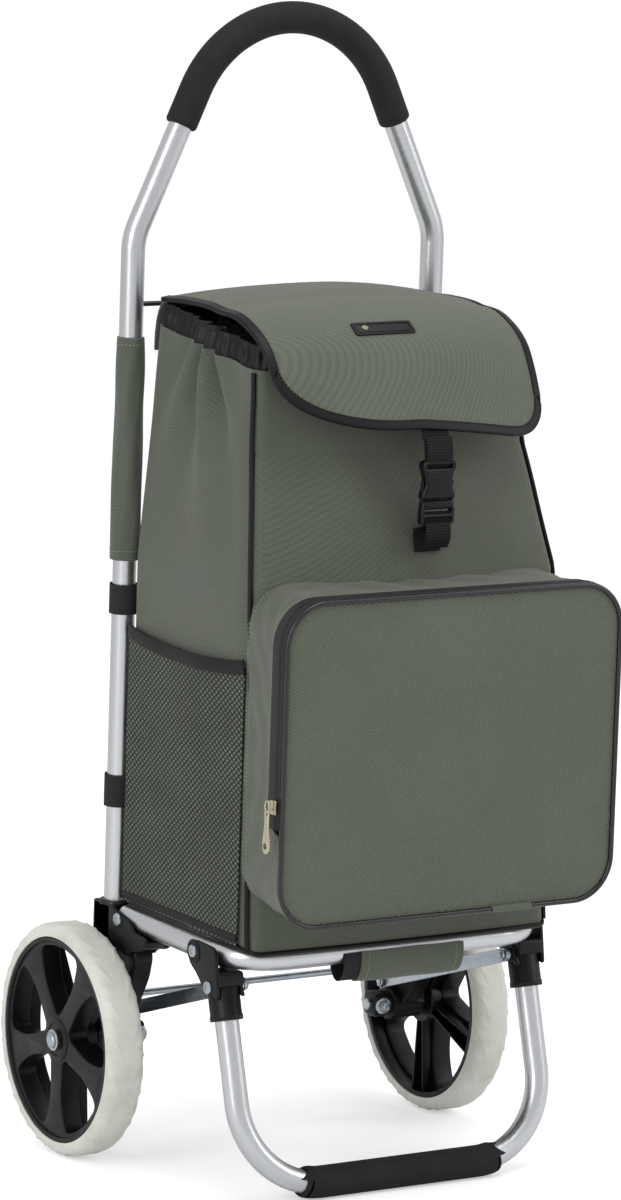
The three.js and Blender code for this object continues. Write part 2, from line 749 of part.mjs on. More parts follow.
const bagHalf = bagWidth / 2;
const mouthHalf = mouthWidth / 2;
const narrowing = shoulderZ + 0.6 * (mouthFrontZ - shoulderZ);
const rearHalfAt = [[bagBottomZ, bagHalf], [shoulderZ, bagHalf], [mouthRearZ, mouthHalf]];
const frontHalfAt = [[bagBottomZ, bagHalf - 2], [shoulderZ, bagHalf], [narrowing, mouthHalf], [mouthRearZ, mouthHalf]];
const bagFrontAt = [
  [bagBottomZ, bagFrontY], [shoulderZ, bagFrontY + 9], [narrowing, mouthFrontY - 4], [mouthRearZ, mouthFrontY],
];
const bulgeStartZ = bagBottomZ + 80;
const bulgeEndZ = shoulderZ + 60;
const bulgeAt = [[bagBottomZ, 4], [bulgeStartZ, bagBulge], [bulgeEndZ, bagBulge], [mouthRearZ, 6]];

// Unit outline of the bag's section: u from -1 to 1 across, v from 0 (back) to 1 (front), drawn as (u, -v).
function bagOutline() {
  const cornerU = 0.1;
  const cornerV = 0.14;
  const points = [];
  const corner = (u, v, startAngle) => {
    for (let step = 0; step <= 2; step += 1) {
      const angle = startAngle + step * Math.PI / 4;
      points.push([u + cornerU * Math.cos(angle), -v - cornerV * Math.sin(angle)]);
    }
  };
  corner(1 - cornerU, 1 - cornerV, 0);
  for (const u of [0.5, 0, -0.5]) points.push([u, -1]);
  corner(-1 + cornerU, 1 - cornerV, Math.PI / 2);
  corner(-1 + cornerU, cornerV, Math.PI);
  corner(1 - cornerU, cornerV, 1.5 * Math.PI);
  return polygon(points);
}

// The bag's surface, moved out by `offset`, between two heights; the mouth slopes down to the front.
function bagPlace(offset, u, v, z) {
  const half = (1 - v) * along(rearHalfAt, z) + v * along(frontHalfAt, z) + offset;
  const bulge = along(bulgeAt, z) * Math.cos(Math.min(1, Math.abs(u)) * Math.PI / 2) * v * v;
  const back = bagBackY + offset;
  const front = along(bagFrontAt, z) - bulge - offset;
  return point(u * half, back + (front - back) * v, z);
}

const mouthAt = (v) => mouthRearZ + (mouthFrontZ - mouthRearZ) * v;

// The bag filled in, with a ring of its surface at every height where a side or the front changes slope.
function bagSolid(offset, bottomZ, extraTop) {
  const levels = [bottomZ, bulgeStartZ, shoulderZ, bulgeEndZ, narrowing];
  return lofted(bagOutline(), levels.length, (u, v, level) => {
    const index = Math.round(level * levels.length);
    return bagPlace(offset, u, v, index < levels.length ? levels[index] : mouthAt(v) + extraTop);
  });
}

add('bag_body', cut(bagSolid(0, bagBottomZ, 0), bagSolid(-bagWall, bagBottomZ + bagWall, 5)), materials.olive);

const boardZ = bagBottomZ + bagWall + clearance;
const boardInset = bagWall + 12;
add('base_board', block(
  point(-bagHalf + boardInset, bagFrontY + boardInset, boardZ),
  point(bagHalf - boardInset, bagBackY - boardInset, boardZ + baseBoardThickness),
), materials.board);

// The gathered collar stands on the bag's mouth.
function collarLoft(offset, low, high) {
  return lofted(bagOutline(), 1, (u, v, level) => {
    const z = mouthAt(v) + low + (high - low) * level;
    const spot = bagPlace(offset, u, v, mouthAt(v));
    return point(spot.x, spot.y, z);
  });
}

add('mouth_collar', cut(
  collarLoft(-0.5, clearance, collarHeight),
  collarLoft(-0.5 - collarWall, -5, collarHeight + 5),
), materials.blackFabric);

// ---------------------------------------------------------------- front pocket

// Rounded outline of the pocket, grown by `grow` on every side.
function pocketOutline(grow) {
  return roundedRectangle(
    new THREE.Vector2(-pocketHalf - grow, pocketBottomZ - grow),
    new THREE.Vector2(pocketHalf + grow, pocketTopZ + grow),
    pocketCorner + grow,
  );
}

const pocketLayer = (grow, rearY, frontY) => frontPlate(pocketOutline(grow), rearY, frontY);
const pocketRing = (outer, wall, rearY, frontY) =>
  cut(pocketLayer(outer, rearY, frontY), pocketLayer(outer - wall, rearY + 1, frontY - 1));

const aboveZipEnds = (rearY, frontY) => block(
  point(-bagWidth, frontY, zipEndZ),
  point(bagWidth, rearY, pocketTopZ + 50),
);

add('pocket_panel', pocketLayer(0, panelRearY, panelFrontY), materials.olive);
add('pocket_piping', pocketRing(pipingWidth, pipingWidth - clearance, pipingRearY, pipingFrontY), materials.blackFabric);
add('zip_tape', cut(
  pocketRing(4, gussetWall, zipRearY, zipFrontY),
  block(point(-bagWidth, zipFrontY - 1, 0), point(bagWidth, zipRearY + 1, zipEndZ + clearance)),
), materials.blackFabric);

// The gusset narrows from the panel back to the bag, so its rear outline is drawn in.
const gussetRearY = bagFrontY + 17;
const gussetRearHalf = bagWidth / 2 - 16;
function gussetLayer(grow, rearY, frontY) {
  const shape = pocketOutline(grow);
  const plate = new THREE.ExtrudeGeometry(shape, { depth: rearY - frontY, bevelEnabled: false, curveSegments: 5 });
  plate.rotateX(Math.PI / 2);
  plate.translate(0, rearY, 0);
  const position = plate.getAttribute('position');
  for (let i = 0; i < position.count; i += 1) {
    const share = (position.getY(i) - zipFrontY) / (gussetRearY - zipFrontY);
    position.setX(i, position.getX(i) * (1 + share * (gussetRearHalf / pocketHalf - 1)));
    position.setZ(i, position.getZ(i) - 6 * share);
  }
  return solid(plate);
}

const pipingStations = (sign) => {
  const stations = [];
  const steps = 10;
  for (let step = 0; step <= steps; step += 1) {
    const z = bagBottomZ + 2 + (mouthFrontZ - bagBottomZ - 2) * step / steps;
    const spot = bagPlace(cornerPipingRadius - 0.4, 0.97, 0.96, z);
    stations.push(point(sign * spot.x, spot.y, z));
  }
  return stations;
};

add('pocket_gusset', cut(
  gussetLayer(2, gussetRearY, zipFrontY),
  gussetLayer(2 - gussetWall, gussetRearY + 1, zipFrontY - 1),
  aboveZipEnds(zipRearY + clearance, zipFrontY - 1),
  bagSolid(0.5, bagBottomZ, 5),
), materials.olive);

const tapeOuterX = pocketHalf + 4;
const sliderY = (zipRearY + zipFrontY) / 2;
const sliderX = -tapeOuterX - clearance;
const pullHinge = { x: sliderX - 4.5, z: sliderZ + 5 };
add('zip_slider', joined(
  block(point(sliderX - 2.5, sliderY - 4, sliderZ - 6), point(sliderX, sliderY + 4, sliderZ + 6)),
  block(point(sliderX - 6.5, sliderY - 1.5, sliderZ + 3), point(sliderX - 2, sliderY + 1.5, sliderZ + 6)),
), materials.pull);

const pullRing = new THREE.Shape();
pullRing.moveTo(-4.5, -pullLength);
pullRing.lineTo(4.5, -pullLength);
pullRing.lineTo(5.5, -pullLength + 12);
pullRing.lineTo(3, 2);
pullRing.lineTo(-3, 2);
pullRing.lineTo(-5.5, -pullLength + 12);
const pullHole = new THREE.Path();
pullHole.absarc(0, -pullLength + 7, 2.5, 0, 2 * Math.PI, true);
pullRing.holes.push(pullHole);
const pull = new THREE.ExtrudeGeometry(pullRing, { depth: 1.6, bevelEnabled: false, curveSegments: 4 });
pull.applyMatrix4(new THREE.Matrix4().makeBasis(point(0, 1, 0), point(0, 0, 1), point(1, 0, 0)));
pull.translate(pullHinge.x - 4, sliderY, pullHinge.z);
add('zip_pull', solid(pull), materials.pull);

// ---------------------------------------------------------------- side pockets and corner piping

for (const { name, sign } of sides) {
  const near = bagHalf + 0.5;
  add(`${name}_mesh_pocket`, blockX(sign, near, near + meshThickness, bagFrontY + 26, bagBackY - 22,
    bagBottomZ, meshTopZ), materials.mesh);

  const piping = solid(tubeAlong(pipingStations(sign), cornerPipingRadius, 0, 6));
  add(`${name}_corner_piping`, cut(piping, bagSolid(0.4, bagBottomZ, 5)), materials.blackFabric);
}

// ---------------------------------------------------------------- straps

// A band wrapped under the platform's front crosspiece, open at the top.
function crosspieceStrap() {
  const inner = tubeRadius + 0.6;
  const outer = inner + strapThickness;
  const shape = new THREE.Shape();
  const start = 0.1 * Math.PI;
  const end = -1.1 * Math.PI;
  shape.absarc(0, 0, outer, start, end, true);
  shape.absarc(0, 0, inner, end, start, false);
  const band = new THREE.ExtrudeGeometry(shape, { depth: strapWidth, bevelEnabled: false, curveSegments: 14 });
  band.applyMatrix4(new THREE.Matrix4().makeBasis(point(0, 1, 0), point(0, 0, 1), point(1, 0, 0)));
  band.translate(strapX - strapWidth / 2, crosspieceY, platformZ);
  return solid(band);
}

add('crosspiece_strap', crosspieceStrap(), materials.olive);

function bandRoundTube(x, bottomZ, topZ, wall) {
  const inner = boreFor(tubeRadius + clearance);
  return tubeAlong([point(x, handleY, bottomZ), point(x, handleY, topZ)], inner + wall, inner);
}

for (const { name, sign } of sides) {
  add(`${name}_tube_sleeve`, bandRoundTube(sign * tubeX, sleeveBottomZ, sleeveTopZ, sleeveWall), materials.olive);
  for (const band of tapeBands) {
    const wrap = bandRoundTube(sign * tubeX, band.bottom, band.top, tapeWall);
    add(`${name}_${band.name}_tape_strap`, wrap, materials.blackFabric);
  }
}

// ---------------------------------------------------------------- flap

// The flap's side profile from its hinge line over the mouth and down the front, as Y and Z.
const flapProfile = [
  [flapHingeY, flapHingeZ], [-70, flapHingeZ + 3], [-120, flapHingeZ + 1], [-160, flapHingeZ - 8],
  [-188, flapHingeZ - 24], [-206, flapHingeZ - 48], [-221, flapHingeZ - 80], [-231, flapHingeZ - 103],
];
const flapCurve = new THREE.SplineCurve(flapProfile.map(([y, z]) => new THREE.Vector2(y, z)));
const flapLength = flapCurve.getLength();

// A point of the flap: `distance` from the hinge line, `across` from -1 to 1, `lift` off its underside.
function flapPlace(distance, across, lift, inset) {
  const u = THREE.MathUtils.clamp(distance / flapLength, 0, 1);
  const tangent = flapCurve.getTangentAt(u);
  const spot = flapCurve.getPointAt(u).addScaledVector(tangent, Math.min(distance, 0));
  const half = flapRearHalf + (flapFrontHalf - flapRearHalf) * u;
  const fromEnd = Math.max(0, flapEndRound - (flapLength - inset - distance));
  const rounding = flapEndRound - Math.sqrt(Math.max(0, flapEndRound ** 2 - fromEnd ** 2));
  const x = across * (half - inset - 0.9 * rounding);
  return point(x, spot.x + tangent.y * lift, spot.y - tangent.x * lift);
}

function flapSheet(start, endInset, inset, lift, thickness) {
  const end = flapLength - endInset;
  return bentSheet(4, 11, (u, v, w) => {
    const distance = start + (end - start) * v;
    return flapPlace(distance, 1 - 2 * u, lift + thickness * w, inset);
  });
}

add('flap_panel', flapSheet(0, flapBindingWidth + clearance, flapBindingWidth + clearance, 0, flapThickness),
  materials.olive);

const bindingOuter = flapSheet(0, 0, 0, -0.5, flapThickness + 1);
const bindingHole = flapSheet(0, flapBindingWidth, flapBindingWidth, -6, flapThickness + 12);
const rearStrip = block(point(-200, flapHingeY - 1, 0), point(200, 100, 1000));
add('flap_binding', cut(bindingOuter, bindingHole, rearStrip), materials.blackFabric);

// A sewn-on label on the front slope of the flap.
const labelDistance = 0.615 * flapLength;
const labelX = -13;
const labelHalf = { across: 28.5, along: 7 };
add('flap_label', bentSheet(1, 1, (u, v, w) => {
  const spot = flapPlace(labelDistance + (v - 0.5) * 2 * labelHalf.along, 0, flapThickness + 1 + 1.5 * w, 0);
  return point(labelX + (1 - 2 * u) * labelHalf.across, spot.y, spot.z);
}), materials.blackPlastic);

// ---------------------------------------------------------------- buckle

const buckleY = -236;                   // mid-plane of the buckle
const halfWebbing = webbingWidth / 2;
const halfBuckle = buckleWidth / 2;
const buckleRearY = buckleY + buckleThickness / 2;
const buckleFrontY = buckleY - buckleThickness / 2;
const webbingY = buckleY + 0.5;

function webbingRun(points) {
  return bentSheet(1, points.length - 1, (u, v, w) => {
    const [y, z] = points[Math.round(v * (points.length - 1))];
    return point(buckleX + halfWebbing * (1 - 2 * u), y - webbingThickness * w, z);
  });
}

// Upper webbing hangs from the flap's front edge into the socket half of the buckle.
add('upper_webbing', webbingRun([
  [webbingY, flapHingeZ - 106], [webbingY, buckleTopZ - 4],
]), materials.blackFabric);

// Socket half: a shell, open below and behind, with a slot above for the webbing.
add('buckle_socket', cut(
  block(point(buckleX - halfBuckle, buckleFrontY, buckleSplitZ), point(buckleX + halfBuckle, buckleRearY, buckleTopZ)),
  block(
    point(buckleX - halfBuckle + 3, buckleFrontY + 2.5, buckleSplitZ - 1),
    point(buckleX + halfBuckle - 3, buckleRearY + 1, buckleTopZ - 7),
  ),
  block(
    point(buckleX - halfWebbing - 1, webbingY - webbingThickness - 0.4, buckleTopZ - 5),
    point(buckleX + halfWebbing + 1, webbingY + 0.4, buckleTopZ + 1),
  ),
), materials.blackPlastic);

// Plug half: two prongs and a guide on a bar, with the webbing's frame under it.
const prongTop = buckleTopZ - 9;
const plugTop = buckleSplitZ - clearance;
const prong = (x) => block(point(x - 2.5, buckleY - 2, plugTop - 3), point(x + 2.5, buckleY + 2, prongTop));
add('buckle_plug', cut(
  joined(
    block(point(buckleX - halfBuckle, buckleFrontY + 1, buckleBottomZ), point(buckleX + halfBuckle, buckleRearY - 1, plugTop)),
    prong(buckleX - 9),
    prong(buckleX),
    prong(buckleX + 9),
  ),
  block(
    point(buckleX - halfWebbing - 1, webbingY - webbingThickness - 0.4, buckleBottomZ - 1),
    point(buckleX + halfWebbing + 1, webbingY + 0.4, buckleSplitZ - 10),
  ),
), materials.blackPlastic);

// Lower webbing runs from the plug down to where it is sewn on the bag's front.
add('lower_webbing', webbingRun([
  [webbingY, buckleSplitZ - 12], [webbingY, buckleBottomZ - 4], [bagFrontY - 13.5, tailZ],
]), materials.blackFabric);

// ---------------------------------------------------------------- standing on the floor

const rearmost = axle.y * Math.cos(lean) - axle.z * Math.sin(lean) + wheelRadius;
const foremost = pipingFrontY * Math.cos(lean) - (pocketTopZ + pipingWidth) * Math.sin(lean);
const floorDrop = axle.y * Math.sin(lean) + axle.z * Math.cos(lean) - wheelRadius;
trolley.rotation.x = lean;
trolley.position.set(0, -(rearmost + foremost) / 2, -floorDrop);
trolley.updateMatrixWorld(true);

export default trolley;
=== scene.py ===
import json
import math

import bmesh
import bpy
import numpy as np
from mathutils import Matrix, Vector


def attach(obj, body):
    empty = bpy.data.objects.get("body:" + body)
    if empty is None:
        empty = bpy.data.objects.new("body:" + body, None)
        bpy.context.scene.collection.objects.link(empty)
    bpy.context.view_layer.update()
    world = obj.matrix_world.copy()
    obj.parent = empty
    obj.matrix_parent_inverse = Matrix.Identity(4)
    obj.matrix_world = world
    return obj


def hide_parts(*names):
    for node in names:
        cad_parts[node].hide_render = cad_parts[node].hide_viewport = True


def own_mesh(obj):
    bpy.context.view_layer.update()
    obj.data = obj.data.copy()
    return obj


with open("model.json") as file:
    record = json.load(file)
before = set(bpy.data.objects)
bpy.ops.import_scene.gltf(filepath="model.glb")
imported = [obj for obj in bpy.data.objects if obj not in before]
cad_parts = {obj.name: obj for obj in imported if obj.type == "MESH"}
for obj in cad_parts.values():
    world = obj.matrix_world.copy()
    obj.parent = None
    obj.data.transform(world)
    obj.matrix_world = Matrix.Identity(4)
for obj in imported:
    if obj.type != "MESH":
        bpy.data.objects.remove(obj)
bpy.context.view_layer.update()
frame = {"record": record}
scene = bpy.context.scene
scene.view_settings.view_transform = "Standard"

# ------------------------------------------------------------------ camera and studio
# A long lens from the front left, a little above the middle of the bag. The studio is a pale
# sweep with a large soft box on each side, so the tubes get a bright core and darker edges.

camera_at = Vector((-2.49736, -4.02271, 1.13365))
looks_at = Vector((0.03541, 0.08849, 0.46735))
camera_roll = math.radians(0.814)

back = (camera_at - looks_at).normalized()
level_right = (-back).cross(Vector((0, 0, 1))).normalized()
level_up = level_right.cross(-back)
right = level_right * math.cos(camera_roll) + level_up * math.sin(camera_roll)
up = level_up * math.cos(camera_roll) - level_right * math.sin(camera_roll)

lens = bpy.data.cameras.new("camera")
lens.lens = 170.33
lens.sensor_fit = "AUTO"
lens.sensor_width = 36
lens.shift_x = 0.0028
lens.shift_y = -0.0025
lens.clip_end = 50
camera = bpy.data.objects.new("camera", lens)
camera.matrix_world = Matrix.Translation(camera_at) @ Matrix((right, up, back)).transposed().to_4x4()
scene.collection.objects.link(camera)
scene.camera = camera


def linear(hex_colour):
    """An sRGB hex colour as linear RGBA."""
    parts = [int(hex_colour[i:i + 2], 16) / 255 for i in (1, 3, 5)]
    return [p / 12.92 if p <= 0.04045 else ((p + 0.055) / 1.055) ** 2.4 for p in parts] + [1]


def node(tree, kind, settings=(), into=None, out=0, **links):
    """A shader node with its settings, its inputs linked from other outputs, and one output led on."""
    made = tree.nodes.new("ShaderNode" + kind)
    for key, value in dict(settings).items():
        if isinstance(key, int) or key in made.inputs:
            made.inputs[key].default_value = value
        else:
            setattr(made, key, value)
    for key, source in links.items():
        tree.links.new(source, made.inputs[int(key[1:]) if key[1:].isdigit() else key.replace("_", " ")])
    if into is not None:
        tree.links.new(made.outputs[out], into)
    return made


def finish_of(name, colour, roughness, metallic=0.0, **sockets):
    """A material with one Principled shader: returns it, its tree, the shader and object coordinates."""
    made = bpy.data.materials.new(name)
    made.use_nodes = True
    tree = made.node_tree
    shader = tree.nodes["Principled BSDF"]
    values = {"Base Color": linear(colour), "Roughness": roughness, "Metallic": metallic, **sockets}
    for key, value in values.items():
        shader.inputs[key].default_value = value
    return made, tree, shader, node(tree, "TexCoord").outputs["Object"]


def grained(name, colour, roughness, grain, bump=None, gloss=None, shades=None, kind="TexNoise", **more):
    """A finish with one fine grain, which can lift the surface, its gloss and its colour."""
    made, tree, shader, place = finish_of(name, colour, roughness, **more)
    spots = node(tree, kind, grain, Vector=place).outputs[0]
    if shades:
        node(tree, "Mix", {"data_type": "RGBA", 6: linear(shades[0]), 7: linear(shades[1])},
             into=shader.inputs["Base Color"], out=2, Factor=spots)
    if gloss:
        node(tree, "MapRange", {"To Min": gloss[0], "To Max": gloss[1]}, into=shader.inputs["Roughness"],
             Value=spots)
    if bump:
        node(tree, "Bump", {"Strength": bump[0], "Distance": bump[1]}, into=shader.inputs["Normal"],
             Height=spots)
    return made


def studio_light(name, at, size, power, towards=(0, 0, 0.5)):
    lamp = bpy.data.lights.new(name, "AREA")
    lamp.shape = "RECTANGLE"
    lamp.size, lamp.size_y = size
    lamp.energy = power
    holder = bpy.data.objects.new(name, lamp)
    holder.location = at
    holder.rotation_euler = (Vector(towards) - Vector(at)).to_track_quat("-Z", "Y").to_euler()
    scene.collection.objects.link(holder)


def seen_or_lit(tree, lit, seen):
    """A strength that is `seen` to the camera and `lit` to everything the light falls on."""
    ray = node(tree, "LightPath")
    return node(tree, "MapRange", {"To Min": lit, "To Max": seen},
                Value=ray.outputs["Is Camera Ray"]).outputs[0]


world = bpy.data.worlds.new("studio")
world.use_nodes = True
sky = world.node_tree.nodes["Background"]
sky.inputs["Color"].default_value = (1, 1, 1, 1)
world.node_tree.links.new(seen_or_lit(world.node_tree, 0.66, 1.02), sky.inputs["Strength"])
scene.world = world
studio_light("left_soft_box", (-2.9, -1.2, 1.7), (1.0, 2.4), 30)
studio_light("right_soft_box", (2.4, -2.0, 1.9), (1.0, 2.2), 20)
studio_light("top_soft_box", (0.2, -0.5, 3.0), (2.0, 1.6), 22)

floor_paint, tree, shader, place = finish_of("floor_paint", "#f2f2f3", 0.9)
shader.inputs["Emission Color"].default_value = (1, 1, 1, 1)
tree.links.new(seen_or_lit(tree, 0.0, 0.42), shader.inputs["Emission Strength"])
floor_mesh = bpy.data.meshes.new("floor")
floor_mesh.from_pydata([(-9, -9, -0.0006), (9, -9, -0.0006), (9, 9, -0.0006), (-9, 9, -0.0006)], [],
                       [(0, 1, 2, 3)])
floor_mesh.materials.append(floor_paint)
floor = bpy.data.objects.new("floor", floor_mesh)
scene.collection.objects.link(floor)

# ------------------------------------------------------------------ handle
# One bent tube of satin anodised aluminium, 20 mm across: two uprights, two shoulders and an arch.
# The anodising leaves fine lengthwise drawing lines that stretch the highlights along the tube.

hinges = {joint["name"]: joint for joint in frame["record"]["behaviour"]["joints"]}
platform_hinge = np.array(hinges["platform_fold"]["pos_m"])
leg_hinge = np.array(hinges["leg_fold"]["pos_m"])
lean = math.atan2(platform_hinge[2] - leg_hinge[2], platform_hinge[1] - leg_hinge[1])


def placed(points):
    """Chassis millimetres to where they stand, in metres."""
    points = np.asarray(points, float) / 1000
    y, z = points[..., 1] + 0.034, points[..., 2] - 0.209
    turned_y = platform_hinge[1] + y * math.cos(lean) - z * math.sin(lean)
    turned_z = platform_hinge[2] + y * math.sin(lean) + z * math.cos(lean)
    return np.stack([points[..., 0], turned_y, turned_z], -1)


def piece(name, shapes, finish, body, stands_for=(), crease=38, close=True):
    """One object from (points, faces) shapes. It rides on a body, and stands for CAD nodes."""
    points, faces, start = [], [], 0
    for shape_points, shape_faces in shapes:
        shape_points = np.asarray(shape_points, float).reshape(-1, 3)
        points.append(shape_points)
        faces += [tuple(start + i for i in face) for face in shape_faces]
        start += len(shape_points)
    mesh = bpy.data.meshes.new(name)
    mesh.from_pydata(placed(np.concatenate(points)).tolist(), [], faces)
    if close:
        work = bmesh.new()
        work.from_mesh(mesh)
        bmesh.ops.recalc_face_normals(work, faces=work.faces)
        work.to_mesh(mesh)
        work.free()
    mesh.polygons.foreach_set("use_smooth", [True] * len(mesh.polygons))
    mesh.set_sharp_from_angle(angle=math.radians(crease))
    mesh.materials.append(finish)
    made = bpy.data.objects.new(name, mesh)
    scene.collection.objects.link(made)
    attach(made, body)
    if stands_for:
        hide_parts(*stands_for)
    return made


def grid_faces(rows, columns, wrap_rows=False, wrap_columns=False):
    index = np.arange(rows * columns).reshape(rows, columns)
    a = index if wrap_rows else index[:-1]
    b = np.roll(index, -1, 0) if wrap_rows else index[1:]
    if not wrap_columns:
        return np.stack([a[:, :-1], a[:, 1:], b[:, 1:], b[:, :-1]], -1).reshape(-1, 4).tolist()
    return np.stack([a, np.roll(a, -1, 1), np.roll(b, -1, 1), b], -1).reshape(-1, 4).tolist()


def ring(radius, sides=32, squeeze=1.0):
    angle = np.arange(sides) * 2 * math.pi / sides
    return np.stack([radius * np.cos(angle), radius * squeeze * np.sin(angle)], -1)


def ends_of(rows, columns):
    """The two flat ends of a form made of closed rows."""
    last = (rows - 1) * columns
    return [tuple(range(columns)), tuple(range(last, last + columns))]


def swept(path, section, across, scale=None, closed=False):
    """A section (its u along `across`) carried along a path, with flat ends unless the path closes."""
    path = np.asarray(path, float)
    ahead, behind = np.roll(path, -1, 0) - path, path - np.roll(path, 1, 0)
    if not closed:
        ahead[-1], behind[0] = behind[-1], ahead[0]
    unit = lambda v: v / np.linalg.norm(v, axis=-1, keepdims=True)
    tangent = unit(unit(ahead) + unit(behind))
    u = np.broadcast_to(np.asarray(across, float), path.shape)
    u = unit(u - tangent * (u * tangent).sum(-1, keepdims=True))
    v = np.cross(tangent, u)
    scale = np.ones(len(path)) if scale is None else np.asarray(scale, float)
    section = np.asarray(section, float)
    offset = section[None, :, :1] * u[:, None] + section[None, :, 1:] * v[:, None]
    points = path[:, None] + offset * scale[:, None, None]
    faces = grid_faces(len(path), len(section), wrap_rows=closed, wrap_columns=True)
    if not closed:
        faces += ends_of(len(path), len(section))
    return points.reshape(-1, 3), faces


def bent(corners, radii, steps=18):
    """Straight runs between corners, with an arc of its own radius at each inner corner."""
    corners = [Vector(c) for c in corners]
    path = [corners[0]]
    for before, corner, after, radius in zip(corners, corners[1:], corners[2:], radii):
        back, onward = (before - corner).normalized(), (after - corner).normalized()
        half = back.angle(onward) / 2
        centre = corner + (back + onward).normalized() * radius / math.sin(half)
        start = corner + back * radius / math.tan(half) - centre
        end = corner + onward * radius / math.tan(half) - centre
        axis = start.cross(end).normalized()
        for step in range(steps + 1):
            path.append(Matrix.Rotation(start.angle(end) * step / steps, 3, axis) @ start + centre)
    path.append(corners[-1])
    return np.array([tuple(p) for p in path])


def mirrored(shape, sign):
    points, faces = shape
    return np.asarray(points) * (sign, 1, 1), faces


hands = (("left", -1), ("right", 1))
tube_radius, tube_x, handle_y = 10, 148, -4.5
shoulder_z, shoulder_bend, arch_lean, arch_top = 783, 55, math.radians(24.5), 964.7
apex = (0, handle_y, shoulder_z + tube_x / math.tan(arch_lean))
arch_radius = (apex[2] - arch_top) * math.sin(arch_lean) / (1 - math.sin(arch_lean))


def handle_path(end_z):
    if end_z < shoulder_z:
        corners = [(-tube_x, handle_y, end_z), (-tube_x, handle_y, shoulder_z), apex,
                   (tube_x, handle_y, shoulder_z), (tube_x, handle_y, end_z)]
        return bent(corners, [shoulder_bend, arch_radius, shoulder_bend], 26)
    start = (apex[2] - end_z) * math.tan(arch_lean)
    return bent([(-start, handle_y, end_z), apex, (start, handle_y, end_z)], [arch_radius], 48)


# Anodised aluminium: pale, satin, with highlights drawn out along the tube.
anodised_tube, tree, shader, place = finish_of("anodised_aluminium_tube", "#d3d5d8", 0.3, 1.0)
streaks = node(tree, "Mapping", {"Scale": (900, 900, 14)}, Vector=place)
grain = node(tree, "TexNoise", {"Scale": 1.0, "Detail": 3.0}, Vector=streaks.outputs[0])
node(tree, "MapRange", {"From Min": 0.3, "From Max": 0.7, "To Min": 0.26, "To Max": 0.38},
     Value=grain.outputs[0], into=shader.inputs["Roughness"])
node(tree, "Bump", {"Strength": 0.06, "Distance": 0.0002}, Height=grain.outputs[0],
     into=shader.inputs["Normal"])

piece("handle_tube", [swept(handle_path(169.5), ring(tube_radius, 40), (0, 1, 0))],
      anodised_tube, "chassis", ["handle_frame"])

# The grip is closed-cell foam, slid over the arch wet and left to grip: matt black, slightly
# swollen between its ends, with its cut ends pulled in where it was trimmed.
foam_rubber, tree, shader, place = finish_of("foam_rubber", "#19191c", 0.82, **{"Specular IOR Level": 0.35})
cells = node(tree, "TexNoise", {"Scale": 1400.0, "Detail": 4.0}, Vector=place)
mottle = node(tree, "TexNoise", {"Scale": 60.0, "Detail": 2.0}, Vector=place)
node(tree, "Mix", {"data_type": "RGBA", 6: linear("#131316"), 7: linear("#232327")}, Factor=mottle.outputs[0],
     into=shader.inputs["Base Color"], out=2)
node(tree, "Bump", {"Strength": 0.22, "Distance": 0.0004}, Height=cells.outputs[0],
     into=shader.inputs["Normal"])


def run_along(path):
    """How far along a path each of its points lies."""
    return np.concatenate([[0], np.cumsum(np.linalg.norm(np.diff(path, axis=0), axis=1))])


def foam_scale(path, radius, ends=3.5):
    """1 along the sleeve, drawn in over a short length at both ends."""
    run = run_along(path)
    near = np.minimum(run, run[-1] - run)
    drawn = np.clip(near / ends, 0, 1)
    return (radius - 3.0 * (1 - np.sqrt(1 - (1 - drawn) ** 2))) / radius


def with_fine_ends(path, ends=(0.4, 1.0, 1.8, 2.8, 4.0)):
    first, last = path[1] - path[0], path[-2] - path[-1]
    first, last = first / np.linalg.norm(first), last / np.linalg.norm(last)
    return np.concatenate([path[:1], [path[0] + first * d for d in ends],
                           path[1:-1], [path[-1] + last * d for d in reversed(ends)], path[-1:]])


grip_path = with_fine_ends(handle_path(875))
piece("grip_foam", [swept(grip_path, ring(13.6, 40), (0, 1, 0), foam_scale(grip_path, 13.6))],
      foam_rubber, "chassis", ["handle_grip"])

# A thin lacquered bar between the uprights that the back of the bag hangs from.
# Dipped lacquer lies a little uneven, so its long highlight wavers.
black_lacquer = grained("black_lacquered_steel", "#141416", 0.28, {"Scale": 90.0}, bump=(0.05, 0.0003),
                        **{"Coat Weight": 0.4})
hanger = [(x, handle_y, 727) for x in np.linspace(-137.7, 137.7, 30)]
piece("hanger_rod", [swept(hanger, ring(2.2, 16), (0, 1, 0))], black_lacquer, "chassis",
      ["hanger_bar"])

# ------------------------------------------------------------------ rear brackets and axle
# Injection-moulded nylon: a sleeve round the foot of each upright, cheeks either side of the
# platform tube, a stem, and a ribbed boss that the axle stub is clamped in.

nylon, tree, shader, place = finish_of("moulded_nylon", "#0d0d10", 0.4, **{"Specular IOR Level": 0.3})
skin = node(tree, "TexNoise", {"Scale": 700.0, "Detail": 3.0}, Vector=place)
scuffs = node(tree, "TexNoise", {"Scale": 45.0, "Detail": 5.0, "Roughness": 0.7}, Vector=place)
node(tree, "MapRange", {"From Min": 0.35, "From Max": 0.75, "To Min": 0.34, "To Max": 0.55},
     Value=scuffs.outputs[0], into=shader.inputs["Roughness"])
node(tree, "Bump", {"Strength": 0.12, "Distance": 0.0002}, Height=skin.outputs[0],
     into=shader.inputs["Normal"])

# Bright zinc plate on the screws, links and axles: a thin, bluish metal, clouded where it was handled.
zinc = grained("bright_zinc_plate", "#b9c2c9", 0.3, {"Scale": 160.0, "Detail": 4.0}, gloss=(0.2, 0.42),
               shades=("#9fabb5", "#ced4d8"), metallic=1.0)


